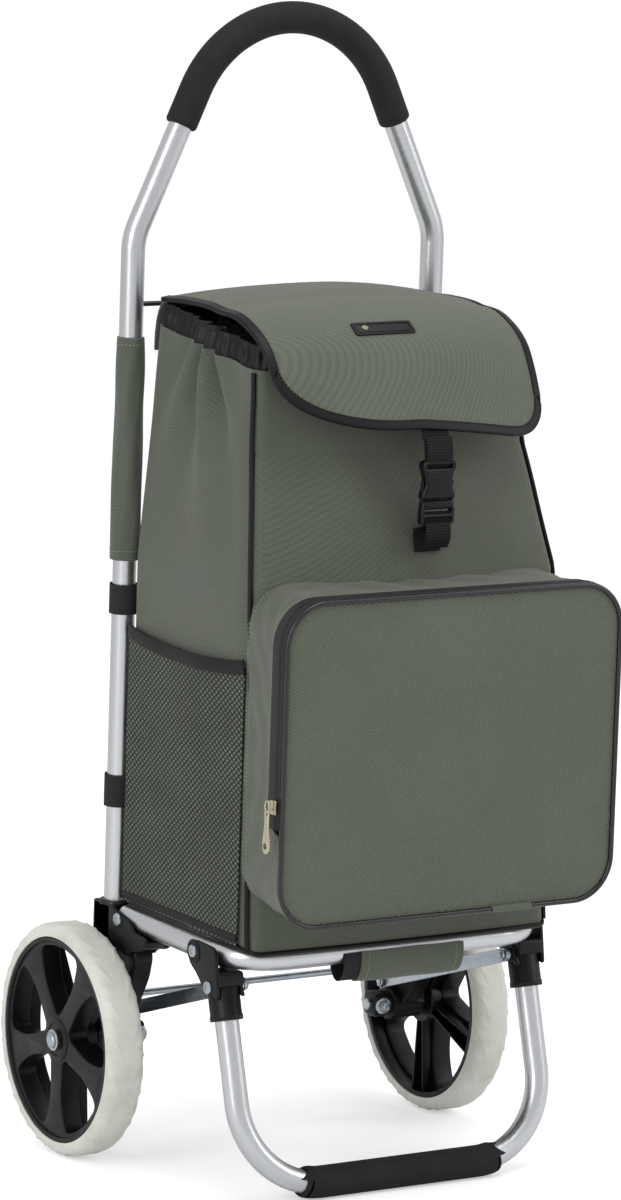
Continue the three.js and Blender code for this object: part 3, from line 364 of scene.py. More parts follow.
def pressed(outlines, thickness, rounding=0.8):
    """A plate cut to outlines in its own u and v, with its edges rounded, as (u, v, w) and faces."""
    curve = bpy.data.curves.new("outline", "CURVE")
    curve.dimensions = "2D"
    curve.fill_mode = "BOTH"
    curve.extrude = thickness / 2 - rounding
    curve.bevel_depth = rounding
    curve.bevel_resolution = 3
    curve.offset = -rounding
    for outline in outlines:
        spline = curve.splines.new("POLY")
        spline.points.add(len(outline) - 1)
        spline.points.foreach_set("co", [c for u, v in outline for c in (u, v, 0, 1)])
        spline.use_cyclic_u = True
    holder = bpy.data.objects.new("outline", curve)
    scene.collection.objects.link(holder)
    bpy.context.view_layer.update()
    mesh = bpy.data.meshes.new_from_object(holder.evaluated_get(bpy.context.evaluated_depsgraph_get()))
    work = bmesh.new()
    work.from_mesh(mesh)
    bmesh.ops.remove_doubles(work, verts=work.verts, dist=0.001)
    points = np.array([v.co for v in work.verts])
    faces = [tuple(v.index for v in f.verts) for f in work.faces]
    work.free()
    bpy.data.objects.remove(holder)
    bpy.data.curves.remove(curve)
    bpy.data.meshes.remove(mesh)
    return points, faces


def side_plate(outlines, near, far, rounding=0.8):
    """A pressed plate whose outline is in Y and Z, between two distances from the middle plane."""
    points, faces = pressed(outlines, far - near, rounding)
    return np.stack([points[:, 2] + (near + far) / 2, points[:, 0], points[:, 1]], -1), faces


def rounded(corners, radius, steps=5):
    """A closed outline with each corner turned into a small arc."""
    corners = [Vector(c) for c in corners]
    outline = []
    for i, corner in enumerate(corners):
        before, after = corners[i - 1], corners[(i + 1) % len(corners)]
        reach = radius if np.isscalar(radius) else radius[i]
        reach = min(reach, (before - corner).length / 2.1, (after - corner).length / 2.1)
        start = corner + (before - corner).normalized() * reach
        end = corner + (after - corner).normalized() * reach
        for step in range(steps + 1):
            t = step / steps
            outline.append(tuple(start * (1 - t) ** 2 + corner * 2 * t * (1 - t) + end * t * t))
    return outline


def oblong(half_u, half_v, radius, steps=5):
    """A rounded rectangle about its own middle."""
    return rounded([(-half_u, -half_v), (half_u, -half_v), (half_u, half_v), (-half_u, half_v)], radius,
                   steps)


def circle(u, v, radius, sides=32):
    return [(u + radius * math.cos(a), v + radius * math.sin(a))
            for a in np.arange(sides) * 2 * math.pi / sides]


def turned(profile, start, axis, sides=36):
    """A lathe form: (radius, height) pairs about an axis from a starting point."""
    axis = np.asarray(axis, float) / np.linalg.norm(axis)
    side = np.cross(axis, (0, 0, 1) if abs(axis[2]) < 0.9 else (0, 1, 0))
    side /= np.linalg.norm(side)
    other = np.cross(axis, side)
    angle = np.arange(sides) * 2 * math.pi / sides
    spoke = np.cos(angle)[:, None] * side + np.sin(angle)[:, None] * other
    radius, height = np.array(profile, float).T
    points = np.asarray(start) + height[:, None, None] * axis + radius[:, None, None] * spoke
    faces = grid_faces(len(profile), sides, wrap_columns=True) + ends_of(len(profile), sides)
    return points.reshape(-1, 3), faces


def pan_head(start, axis, radius=5.5, height=2.4):
    """A low domed head with a cross recess standing for its drive."""
    dome = [(radius, 0), (radius, height * 0.45), (radius * 0.93, height * 0.75),
            (radius * 0.72, height * 0.95),
            (radius * 0.4, height), (radius * 0.34, height * 0.55), (0.01, height * 0.45)]
    return turned(dome, start, axis, 30)


def hex_nut(start, axis, radius=5.5, height=2.4, stud=3.0):
    """A hexagon with chamfered corners and the end of its stud standing out."""
    return turned([(radius * 0.94, 0), (radius, height * 0.15), (radius, height * 0.8),
                   (radius * 0.86, height),
                   (stud, height), (stud, height * 1.3), (stud * 0.7, height * 1.45), (0.01, height * 1.45)],
                  start, axis, 6)


def pivot_screw(hinge):
    """A 6 mm screw through both cheeks, its head outside and its nut inside."""
    return [pan_head((162.1, *hinge), (1, 0, 0)), turned([(3, 0), (3, 29)], (133.5, *hinge), (1, 0, 0), 20),
            hex_nut((133.9, *hinge), (-1, 0, 0))]


axle_y, axle_z = 3.5, 100
hinge_a, hinge_b = (-34, 209), (-160, 209)
link_rear, link_front = (3.5, 119.5), (-185.3, 183.6)
cheek_in, cheek_out = 137.4 - 3.2, 161.8

stem = rounded([(17, 100), (16, 150), (9, 190), (9, 196), (-48, 196), (-48, 192), (-54, 187), (-57, 178),
                (-52, 160), (-27, 118), (-12, 100)], 5)
ear = rounded([(9, 190), (9, 219.5), (-20, 219.5), (-27, 216), (-45, 212), (-54, 210), (-58, 203),
               (-79, 201.5), (-80, 195), (-72, 189), (-57, 186), (-50, 180)], 4)
for name, sign in hands:
    fluted = 15 + 0.5 * np.cos(np.arange(72) * 2 * math.pi / 6)
    boss = np.stack([fluted * np.cos(np.arange(72) * 2 * math.pi / 72),
                     fluted * np.sin(np.arange(72) * 2 * math.pi / 72)], -1)
    shapes = [
        side_plate([stem], 139, 157, 2.5),
        side_plate([ear], 158.6, cheek_out, 1.0),
        side_plate([ear], cheek_in, 137.4, 1.0),
        side_plate([rounded([(9, 170), (9, 219.3), (-20, 219.3), (-20, 170)], 4)], cheek_in, cheek_out, 2.2),
        side_plate([rounded([(-20, 186), (-20, 198), (-79, 198), (-72, 190), (-57, 186)], 3)], 136, 160, 1.2),
        turned([(13.6, 0), (13.6, 46), (14.1, 47), (14.1, 49.5), (13.0, 50.5), (10.4, 50.5)],
               (tube_x, handle_y, 169.5), (0, 0, 1), 40),
        swept([(x, axle_y, axle_z) for x in (133, 134, 150, 164, 165)], boss, (0, 1, 0),
              [0.9, 1, 1, 1, 0.94]),
        turned([(9.5, 0), (11, 1.2), (11, 16), (12.5, 18), (12.5, 20)], (117, axle_y, axle_z), (1, 0, 0)),
        side_plate([rounded([(-7, 89.5), (14, 89.5), (14, 110.5), (-7, 110.5)], 5)], 116.5, 130, 2.6),
    ]
    piece(f"{name}_rear_bracket_moulding", [mirrored(s, sign) for s in shapes], nylon, "chassis",
          [f"{name}_rear_bracket"])

    axle = turned([(4.2, 0), (5, 0.8), (5, 90), (4.2, 91)], (112.5, axle_y, axle_z), (1, 0, 0), 28)
    collar_ring = turned([(5.2, 0), (9.5, 0), (10.2, 0.6), (10.2, 1.6), (9.5, 2.2), (5.2, 2.2)],
                         (165.4, axle_y, axle_z), (1, 0, 0))
    piece(f"{name}_axle_stub", [mirrored(s, sign) for s in (axle, collar_ring)], zinc, "chassis",
          [f"{name}_axle"])
    clamp = [hex_nut((123, axle_y - 11.4, axle_z), (0, -1, 0), 5.5, 3.2),
             turned([(7.2, 0), (7.2, 1), (6.8, 1.2)], (123, axle_y - 11.4, axle_z), (0, -1, 0)),
             turned([(3, 0), (3, 25)], (123, axle_y - 12.4, axle_z), (0, 1, 0), 20),
             pan_head((123, axle_y + 11.3, axle_z), (0, 1, 0))]
    piece(f"{name}_clamp_bolt", [mirrored(s, sign) for s in clamp], zinc, "chassis",
          [f"{name}_axle_clamp_bolt"])
    pivot = pivot_screw(hinge_a)
    piece(f"{name}_platform_screw", [mirrored(s, sign) for s in pivot], zinc, "chassis",
          [f"{name}_platform_pivot_bolt"])
    pin = [turned([(3, 0), (3, 20)], (127.5, *link_rear), (1, 0, 0), 20),
           hex_nut((127.9, *link_rear), (-1, 0, 0))]
    piece(f"{name}_link_screw", [mirrored(s, sign) for s in pin], zinc, "chassis",
          [f"{name}_link_pivot_bolt"])

rod = [(x, 12, 130.5) for x in np.linspace(-142, 142, 24)]
piece("cross_tie_rod", [swept(rod, ring(3, 24), (0, 1, 0))], zinc, "chassis", ["cross_rod"])

# ------------------------------------------------------------------ wheels
# Moulded rim with five hollow spokes and a wide flat lip, inside a foamed EVA tyre. The tyre is
# cream and dull, with a smooth crown and a row of curved leaf marks moulded on each shoulder.

eva, tree, shader, place = finish_of("foamed_eva", "#d9d8cf", 0.62, **{"Specular IOR Level": 0.3})
dust = node(tree, "TexNoise", {"Scale": 28.0, "Detail": 6.0, "Roughness": 0.65}, Vector=place)
soiled = node(tree, "MapRange", {"From Min": 0.45, "From Max": 0.8}, Value=dust.outputs[0])
node(tree, "Mix", {"data_type": "RGBA", 6: linear("#e2e1d9"), 7: linear("#c9c8bf")}, Factor=soiled.outputs[0],
     into=shader.inputs["Base Color"], out=2)
pores = node(tree, "TexNoise", {"Scale": 900.0, "Detail": 3.0}, Vector=place)
node(tree, "Bump", {"Strength": 0.1, "Distance": 0.0003}, Height=pores.outputs[0],
     into=shader.inputs["Normal"])

wheel_x = 183


def tyre_shape(centre_x):
    """A ring whose shoulders carry raised leaf outlines; its tread and sides stay round and smooth."""
    around = np.arange(432) * 2 * math.pi / 432
    corner = np.linspace(0, math.pi / 2, 12)
    flank = [(89.0, 17.0)] + [(r, 17.0) for r in np.linspace(89.6, 92.5, 4)]
    flank += [(92.5 + 7.2 * math.sin(a), 17 - 9 * (1 - math.cos(a))) for a in corner[1:]]
    crown = [(100 - 0.3 * (w / 8) ** 2, w) for w in np.linspace(7, 0, 5)]
    half = np.array(flank + crown)
    profile = np.concatenate([half, half[-2::-1] * (1, -1)])
    reach = run_along(half)
    t = np.interp(reach, (reach[3], reach[-4]), (0, 1))
    t = np.concatenate([t, t[-2::-1]])[:, None]
    side = np.where(profile[:, 1] >= 0, 0.0, 0.5)[:, None]
    a = (around[None] * 18 / (2 * math.pi) + side + 0.55 * t ** 1.5) % 1 - 0.5
    width = 0.3 * np.sin(math.pi * np.clip(t, 0, 1)) ** 0.8
    edge = np.exp(-((np.abs(a) - width) / 0.05) ** 2) * (t > 0.03) * (t < 0.97)
    dish = -0.35 * (np.abs(a) < width) * (t > 0.03) * (t < 0.97)
    lift = 0.75 * edge + dish - 0.35
    radius, across = profile[:, :1], profile[:, 1:]
    normal = np.gradient(profile, axis=0)[:, ::-1] * (1, -1)
    normal /= np.linalg.norm(normal, axis=1, keepdims=True)
    outward = np.sign((normal * (profile - (93, 0))).sum(1, keepdims=True))
    normal = normal * np.where(outward == 0, 1, outward)
    lift = np.where(radius > 92.0, lift, 0)
    radius = radius + lift * normal[:, :1]
    across = across + lift * normal[:, 1:]
    y = radius * np.sin(around)
    z = radius * np.cos(around)
    x = np.broadcast_to(across, y.shape)
    inner = np.array([(88.0, 16.6), (87.9, 15.0), (87.9, -15.0), (88.0, -16.6)])[::-1]
    x = np.concatenate([x, np.broadcast_to(inner[:, 1:], (4, 432))])
    y = np.concatenate([y, inner[:, :1] * np.sin(around)])
    z = np.concatenate([z, inner[:, :1] * np.cos(around)])
    points = np.stack([x + centre_x, y + axle_y, z + axle_z], -1)
    return points.reshape(-1, 3), grid_faces(len(points), 432, wrap_rows=True, wrap_columns=True)


def petal(middle, inner=21.5, outer=81.5):
    """One window between two spokes: pointed at the hub, wide under the rim, with rounded corners."""
    place = lambda r, a: (r * math.sin(middle + a), r * math.cos(middle + a))
    ends = [place(inner, -0.14), place(54, -0.47), place(outer, -0.40)]
    ends += [place(outer + 0.6, 0.0)] + [place(outer, 0.40), place(54, 0.47), place(inner, 0.14)]
    return rounded(ends, [4, 26, 9, 30, 9, 26, 4], 8)


spokes = [math.radians(a) for a in (270, 342, 54, 126, 198)]
windows = [petal(math.radians(90) - (a + math.radians(36))) for a in spokes]
windows = [[(u + axle_y, v + axle_z) for u, v in w] for w in windows]
for name, sign in hands:
    piece(f"{name}_eva_tyre", [tyre_shape(sign * wheel_x)], eva, f"{name}_wheel",
          [f"{name}_tyre"], crease=60)
    lip = turned([(83.4, 0), (83.4, 31), (84.2, 32.2), (86.8, 32.6), (87.55, 32), (87.55, 0.6), (86.8, 0),
                  (83.4, 0)],
                 (wheel_x - 16.3, axle_y, axle_z), (1, 0, 0), 96)
    shapes = [
        side_plate([circle(axle_y, axle_z, 85.5, 96)] + windows, wheel_x - 4, wheel_x + 14.2, 1.2),
        (lip[0], lip[1][:-2]),
        turned([(20, 0), (21, 1), (19.5, 27), (18.5, 29.6), (14.5, 30.4), (13.5, 29.4), (6, 29.2), (6, 0)],
               (wheel_x - 14.7, axle_y, axle_z), (1, 0, 0), 64),
    ]
    for a in spokes:
        inward = np.array([math.cos(a), math.sin(a)])
        aside = np.array([-inward[1], inward[0]])
        for offset in (-3.4, 3.4):
            outline = [tuple(inward * r + aside * (offset * (1 + (r / 70) ** 2) + w) + (axle_y, axle_z))
                       for r, w in ((17, -0.9), (84, -0.9), (84, 0.9), (17, 0.9))]
            shapes.append(side_plate([outline], wheel_x - 13.5, wheel_x - 3, 0.5))
    piece(f"{name}_spoked_rim", [mirrored(s, sign) for s in shapes], nylon, f"{name}_wheel",
          [f"{name}_rim"])
    cap = [turned([(5, 0), (9.2, 0), (9.2, 1.2), (8.6, 1.5), (5, 1.5)], (200.3, axle_y, axle_z), (1, 0, 0),
                  40),
           turned([(7.0, 0), (7.5, 0.3), (7.5, 1.6), (6.6, 2.0)], (201.6, axle_y, axle_z), (1, 0, 0), 6),
           turned([(6.2, 0), (6.0, 0.6), (4.8, 1.5), (2.6, 2.0), (0.01, 2.1)], (203.0, axle_y, axle_z),
                  (1, 0, 0), 32)]
    piece(f"{name}_dome_nut", [mirrored(s, sign) for s in cap], zinc, "chassis",
          [f"{name}_wheel_nut"])

# ------------------------------------------------------------------ load platform
# A U of the same tube, hinged between the rear brackets' cheeks, with the stand leg hung under it.

platform_z, crosspiece_y = 209, -213
platform_path = bent([(-tube_x, -26, platform_z), (-tube_x, crosspiece_y, platform_z),
                      (tube_x, crosspiece_y, platform_z), (tube_x, -26, platform_z)], [46, 46], 22)
piece("platform_tube", [swept(platform_path, ring(tube_radius, 40), (0, 0, 1))],
      anodised_tube, "platform", ["platform_frame"])

# ------------------------------------------------------------------ leg brackets and links
# Nylon forks: cheeks over the platform tube, a saddle under it and a sleeve round the leg tube. A
# pair of pressed, zinc-plated flat links ties them to the rear brackets, so the leg folds with the
# platform.

leg_tilt = math.radians(16.5)
leg_way = np.array([0, -math.sin(leg_tilt), -math.cos(leg_tilt)])
on_leg = lambda x, distance: np.array([x, *link_front]) + leg_way * distance

low = on_leg(0, 8)
fork = rounded([(-151, 213), (-160, 219), (-172, 218.6), (-192, 218), (-195, 208), (-197, 196),
                (low[1] - 12.5, low[2]), (low[1] + 12, low[2] + 5), (-166, 190), (-153, 198), (-150, 205)],
               [6, 8, 4, 7, 3, 6, 4, 4, 5, 5, 5])
inner_fork = rounded([(-151, 213), (-160, 218.5), (-166.6, 217), (-166.6, 199), (-188, 196),
                      (low[1] - 12.5, low[2]),
                      (low[1] + 12, low[2] + 5), (-166, 190), (-153, 198), (-150, 205)],
                     [6, 5, 3, 3, 5, 4, 4, 5, 5, 5])
link_length = math.dist(link_rear, link_front)
link_rise = math.atan2(link_front[1] - link_rear[1], link_front[0] - link_rear[0])
along_link = lambda u, v: (link_rear[0] + u * math.cos(link_rise) - v * math.sin(link_rise),
                           link_rear[1] + u * math.sin(link_rise) + v * math.cos(link_rise))
bar = [along_link(-5, -6), along_link(-5, 6), along_link(link_length, 6)]
bar += [along_link(link_length + 6 * math.sin(a), 6 * math.cos(a))
        for a in np.linspace(0.2, math.pi - 0.2, 14)]
bar += [along_link(link_length, -6)]
for name, sign in hands:
    socket = turned([(10.5, 0), (13.0, 0), (13.3, 0.8), (13.3, 34), (13.9, 35.2), (13.9, 38.4), (13.4, 39.2),
                     (10.5, 39.2)],
                    on_leg(tube_x, -10.5), leg_way, 44)
    shapes = [
        side_plate([fork], 158.6, cheek_out, 1.2),
        side_plate([inner_fork], cheek_in, 137.4, 1.0),
        socket,
        turned([(10, 0), (10, 0.9), (9.2, 1.4), (7.2, 1.4), (6.8, 0.7)], (161.4, *hinge_b), (1, 0, 0), 36),
        side_plate([rounded([(-175, 197.5), (-198, 197.5), (-200, 186), (-180, 180), (-172, 190)], 3)], 136,
                   160, 1.2),
    ]
    piece(f"{name}_leg_fork", [mirrored(s, sign) for s in shapes], nylon, "leg",
          [f"{name}_leg_bracket"])
    pivot = pivot_screw(hinge_b)
    piece(f"{name}_leg_screw", [mirrored(s, sign) for s in pivot], zinc, "platform",
          [f"{name}_leg_pivot_bolt"])
    through = [pan_head((162.1, *link_front), (1, 0, 0)),
               turned([(3, 0), (3, 32)], (130.6, *link_front), (1, 0, 0), 20),
               turned([(5.4, 0), (5.6, 0.4), (5.6, 2.8), (5.3, 3.3)], (130.6, *link_front), (1, 0, 0), 28)]
    piece(f"{name}_link_through_bolt", [mirrored(s, sign) for s in through], zinc, "leg",
          [f"{name}_leg_link_bolt"])
    flat = [side_plate([bar, circle(*link_front, 1.0, 12), circle(*link_rear, 3.5, 24)], 128.2, 130.2, 0.35),
            hex_nut((128.0, *link_front), (-1, 0, 0), 5.0, 2.6)]
    piece(f"{name}_flat_link", [mirrored(s, sign) for s in flat], zinc, f"{name}_link",
          [f"{name}_link"])

# ------------------------------------------------------------------ stand leg
# A second U of tube, bent on a wide former, with a foam sleeve on its foot that has worn a narrow
# flat where it meets the floor.

leg_length, leg_bend, foot_radius = 169.4, 72, 13.5
leg_path = bent([on_leg(-tube_x, -10), on_leg(-tube_x, leg_length), on_leg(tube_x, leg_length),
                 on_leg(tube_x, -10)],
                [leg_bend, leg_bend], 26)
leg_side = np.cross(leg_way, (1, 0, 0))
piece("stand_tube", [swept(leg_path, ring(tube_radius, 40), leg_side)], anodised_tube, "leg",
      ["stand_leg"])
straight = bent([on_leg(-tube_x, leg_length - 60), on_leg(-tube_x, leg_length), on_leg(tube_x, leg_length),
                 on_leg(tube_x, leg_length - 60)], [leg_bend, leg_bend], 48)
foot_path = with_fine_ends(straight[41:-41])
foot_points, foot_faces = swept(foot_path, ring(foot_radius, 40), leg_side,
                                foam_scale(foot_path, foot_radius, 5))
stood = placed(foot_points)
sunk = np.clip(0.0004 - stood[:, 2], 0, None) * 1000
foot_points = foot_points + np.outer(sunk, (0, math.sin(lean), math.cos(lean)))
piece("foot_foam", [(foot_points, foot_faces)], foam_rubber, "leg", ["foot_sleeve"])

# ------------------------------------------------------------------ bag
# Coated polyester twill, sewn as a tall box with rounded corners: straight up to the shoulder, then
# drawn in to the mouth, so the sides fall in soft folds from the drawcord. The weave is 3 mm here,
# coarser than the real thread, so that it still shows.


def twill_of(name, dark, light, pitch=3.0, depth=0.5):
    """Coated olive twill: a small diamond weave, fine slubs and a slight bloom from handling."""
    cloth, tree, shader, place = finish_of(name, light, 0.66, **{
        "Sheen Weight": 0.18, "Sheen Roughness": 0.45, "Specular IOR Level": 0.42})
    wave = 2 * math.pi / (pitch / 1000)
    weft = node(tree, "VectorMath", {"operation": "DOT_PRODUCT", 1: (wave, wave, 0)}, _0=place)
    warp = node(tree, "VectorMath", {"operation": "DOT_PRODUCT", 1: (wave / 2, -wave / 2, wave)}, _0=place)
    across = node(tree, "Math", {"operation": "SINE"}, _0=weft.outputs["Value"])
    along = node(tree, "Math", {"operation": "SINE"}, _0=warp.outputs["Value"])
    woven = node(tree, "Math", {"operation": "MULTIPLY"}, _0=across.outputs[0], _1=along.outputs[0])
    bloom = node(tree, "TexNoise", {"Scale": 9.0, "Detail": 4.0, "Roughness": 0.6}, Vector=place)
    slub = node(tree, "TexNoise", {"Scale": 420.0, "Detail": 2.0}, Vector=place)
    mixed = node(tree, "Math", {"operation": "MULTIPLY_ADD", 1: 0.3, 2: 0.3}, _0=woven.outputs[0])
    lifted = node(tree, "Math", {"operation": "MULTIPLY_ADD", 1: 0.45}, _0=bloom.outputs[0],
                  _2=mixed.outputs[0])
    level = node(tree, "Math", {"operation": "MULTIPLY_ADD", 1: 0.3}, _0=slub.outputs[0],
                 _2=lifted.outputs[0])
    ease = node(tree, "MapRange", {"From Min": 0.1, "From Max": 1.15}, Value=level.outputs[0])
    node(tree, "Mix", {"data_type": "RGBA", 6: linear(dark), 7: linear(light)}, Factor=ease.outputs[0],
         into=shader.inputs["Base Color"], out=2)
    node(tree, "Bump", {"Strength": depth, "Distance": 0.0004}, Height=woven.outputs[0],
         into=shader.inputs["Normal"])
    return cloth


olive_twill = twill_of("olive_twill", "#454a3e", "#5f6558")
# Woven nylon binding with a calendered face: near black, with a broken shine on its ribs.
black_binding = grained("glazed_black_binding", "#0b0b0d", 0.42, {"Scale": 520.0, "Detail": 2.0},
                        bump=(0.25, 0.0003), gloss=(0.3, 0.55), **{"Specular IOR Level": 0.25})

along_table = lambda table, where: np.interp(where, *np.array(table, float).T)
bag_bottom, shoulder, mouth_rear, mouth_front = 219.8, 520, 713, 692
narrow_from = shoulder + 0.6 * (mouth_front - shoulder)
rear_half = [(bag_bottom, 150), (shoulder, 150), (mouth_rear, 133)]
front_half = [(bag_bottom, 148), (shoulder, 150), (narrow_from, 133), (mouth_rear, 133)]
front_y = [(bag_bottom, -222), (shoulder, -213), (narrow_from, -182), (mouth_rear, -178)]
front_bulge = [(bag_bottom, 4), (bag_bottom + 80, 18), (shoulder + 60, 18), (mouth_rear, 5)]
back_y = -17.5


def section_outline(front=56, side=44, rear=30, corner=7):
    """The bag's unit section from the front's right corner round: u is -1 to 1, v is 0 at the back."""
    cu, cv = 0.085, 0.11
    points = [(u, 1.0) for u in np.linspace(1 - cu, -1 + cu, front, endpoint=False)]
    points += [(-1 + cu + cu * math.cos(a), 1 - cv + cv * math.sin(a))
               for a in np.linspace(math.pi / 2, math.pi, corner, endpoint=False)]
    points += [(-1.0, v) for v in np.linspace(1 - cv, cv, side, endpoint=False)]
    points += [(-1 + cu + cu * math.cos(a), cv + cv * math.sin(a))
               for a in np.linspace(math.pi, 1.5 * math.pi, corner, endpoint=False)]
    points += [(u, 0.0) for u in np.linspace(-1 + cu, 1 - cu, rear, endpoint=False)]
    points += [(1 - cu + cu * math.cos(a), cv + cv * math.sin(a))
               for a in np.linspace(1.5 * math.pi, 2 * math.pi, corner, endpoint=False)]
    points += [(1.0, v) for v in np.linspace(cv, 1 - cv, side, endpoint=False)]
    points += [(1 - cu + cu * math.cos(a), 1 - cv + cv * math.sin(a))
               for a in np.linspace(0, math.pi / 2, corner, endpoint=False)]
    return np.array(points)


def side_folds(v, z, hand):
    """How far a side panel stands in or out: soft folds that fan down from the drawn-in mouth."""
    spread = np.arctan2((v - 0.5) * 195, 742 - z)
    reach = np.hypot((v - 0.5) * 195, 742 - z)
    fan = [(-0.66, -5.0, 0.14), (-0.38, 5.5, 0.12), (-0.12, -12.0, 0.13), (0.13, 8.5, 0.10),
           (0.38, -13.0, 0.12), (0.62, 6.0, 0.10), (0.88, -3.0, 0.12)]
    fold = sum(depth * np.exp(-((spread - centre * np.where(hand < 0, 1, 0.93)) / width) ** 2)
               for centre, depth, width in fan)
    ease = np.clip((reach - 22) / 34, 0.3, 1) * np.exp(-np.clip(reach - 84, 0, None) / 60)
    pouch = 6.0 * np.exp(-(((v - 0.72) * 195) / 17) ** 2 - ((z - 606) / 16) ** 2)
    slack = 3.2 * np.sin(math.pi * np.clip((z - 470) / 215, 0, 1)) * np.sin(math.pi * np.clip(v, 0, 1))
    ripple = 1.0 * np.sin(z / 31 + 3.3 * v + hand) * np.sin(math.pi * np.clip(v, 0, 1))
    return ((fold * ease + pouch) * np.sin(math.pi * np.clip(v, 0, 1)) ** 0.6 + slack
            + ripple * np.clip((z - 470) / 40, 0, 1))


def bag_point(u, v, z, offset=0.0):
    """The bag's outer surface, moved out by `offset`, with its bulge and its folds."""
    half = (1 - v) * along_table(rear_half, z) + v * along_table(front_half, z) + offset
    bulge = along_table(front_bulge, z) * np.cos(np.clip(np.abs(u), 0, 1) * math.pi / 2) * v * v
    crumple = 1.1 * np.sin(z / 24 + 2 * u) * np.sin(u * 7 + z / 60) * v * v * np.clip((z - 500) / 90, 0, 1)
    front = along_table(front_y, z) - bulge - offset + crumple
    on_side = np.clip((np.abs(u) - 0.93) / 0.07, 0, 1)
    x = u * half + np.sign(u) * on_side * side_folds(v, z, np.sign(u))
    sag = np.clip((v - 0.9) / 0.1, 0, 1) * np.exp(-np.clip(z - bag_bottom, 0, None) / 9) * (offset > -2)
    front = front - 3.5 * sag
    z = z - 6.5 * sag
    back = back_y + offset * 0.6 - 0.9 * np.cos(u * 9 + z / 40) * (1 - v) ** 6
    return np.stack(np.broadcast_arrays(x, back + (front - back) * v, z), -1)


outline = section_outline()
u, v = outline.T
top_of = lambda v: mouth_rear + (mouth_front - mouth_rear) * v
levels = np.linspace(0, 1, 118)[:, None]
heights = bag_bottom + 1 + (top_of(v) - bag_bottom - 1) * levels
walls = bag_point(u, v, heights)
tuck = bag_point(u, v, np.full_like(u, bag_bottom + 1), -3.0)
tuck[:, 2] = bag_bottom + 0.4
lining = bag_point(u, v, top_of(v) - np.array([0.5, 6, 14, 24, 34, 46])[:, None], -2.2)
shell = np.concatenate([tuck[None], walls, lining])
faces = grid_faces(len(shell), len(outline), wrap_columns=True) + [tuple(range(len(outline)))]
bag = piece("bag_shell", [(shell.reshape(-1, 3), faces)], olive_twill, "chassis",
            ["bag_body"], crease=60)

# The base is stiffened by a thin board laid on the bag's floor.
# Pressed fibre shows as a fine dark mottle.
hardboard = grained("pressed_board", "#2b2d29", 0.75, {"Scale": 300.0, "Detail": 5.0},
                    shades=("#22241f", "#3a3c35"))
flat_board, board_faces = pressed([rounded([(-135, -206), (135, -206), (135, -32), (-135, -32)], 12)], 3, 0.8)
piece("bag_base_board", [(flat_board + (0, 0, 224.7), board_faces)], hardboard, "chassis",
      ["base_board"])

# Black piping is sewn down both front corners and round the bottom edge: a cord in a folded strip.


def corner_path(hand, low=bag_bottom + 4, high=mouth_front - 2, count=60):
    z = np.linspace(low, high, count)
    return bag_point(hand * 0.977, 0.972, z, 1.0)


for name, hand in hands:
    path = corner_path(hand)
    seam = swept(path, ring(1.7, 14), (1, 0, 0))
    flange = swept(path + (-hand * 1.2, 1.6, 0), oblong(2.6, 0.5, 0.4, 2),
                   (1, 0.75 * hand, 0))
    piece(f"{name}_front_piping", [seam, flange], black_binding, "chassis",
          [f"{name}_corner_piping"])
hem = bag_point(u, v, np.full_like(u, bag_bottom + 2.6), 0.4)
piece("bottom_edge_binding", [swept(hem, ring(1.9, 12), (0, 0, 1), closed=True)], black_binding, "chassis")

# The collar is a strip of thin black nylon gathered on a drawcord that runs in its top hem.
# The nylon is thin and crinkled, so it glints in small broken patches.
ripstop = grained("gathered_black_nylon", "#0a0a0d", 0.45, {"Scale": 160.0, "Detail": 4.0, "Distortion": 0.8},
                  bump=(0.4, 0.0012), gloss=(0.32, 0.6), **{"Specular IOR Level": 0.3})

fine = section_outline(190, 150, 130, 20)
cu, cv = fine.T
run = np.linspace(0, 1, len(fine), endpoint=False)
rng = np.random.default_rng(7)
gathers = sum(a * np.sin(2 * math.pi * (n * run + p)) for n, a, p in
              zip((61, 47, 83, 29), (1.0, 0.7, 0.5, 0.6), rng.random(4)))
collar_rows = []
for lift, inset, depth in ((-4, 2.0, 0.2), (0, 1.6, 0.5), (4, 2.0, 1.2), (9, 3.0, 1.5), (13, 4.4, 1.0),
                           (14.5, 5.0, 0.6),
                           (17, 4.2, 1.1), (19, 5.2, 0.8), (17.5, 6.8, 0.7), (12, 7.6, 1.0), (2, 7.4, 0.8)):
    ring_points = bag_point(cu, cv, top_of(cv), -inset)
    outward = np.stack([cu * np.abs(cu) ** 6, -(2 * cv - 1) * np.abs(2 * cv - 1) ** 6], -1)
    ring_points[:, :2] += outward * (gathers * depth * 0.8)[:, None]
    ring_points[:, 2] += (lift * np.where(cu > 0, 1 - 0.7 * cu ** 4, 1)
                          + 0.4 * depth * np.sin(2 * math.pi * 37 * run))
    collar_rows.append(ring_points)
collar_points = np.array(collar_rows)
piece("gathered_collar",
      [(collar_points.reshape(-1, 3), grid_faces(len(collar_rows), len(fine), wrap_columns=True))],
               ripstop, "chassis", ["mouth_collar"], crease=70, close=False)

# ------------------------------------------------------------------ side pockets
# Black diamond net over the olive side, bound along its top with folded tape that stands a little
# away from the bag. The net's threads are about 1.4 mm wide and 4 mm apart.

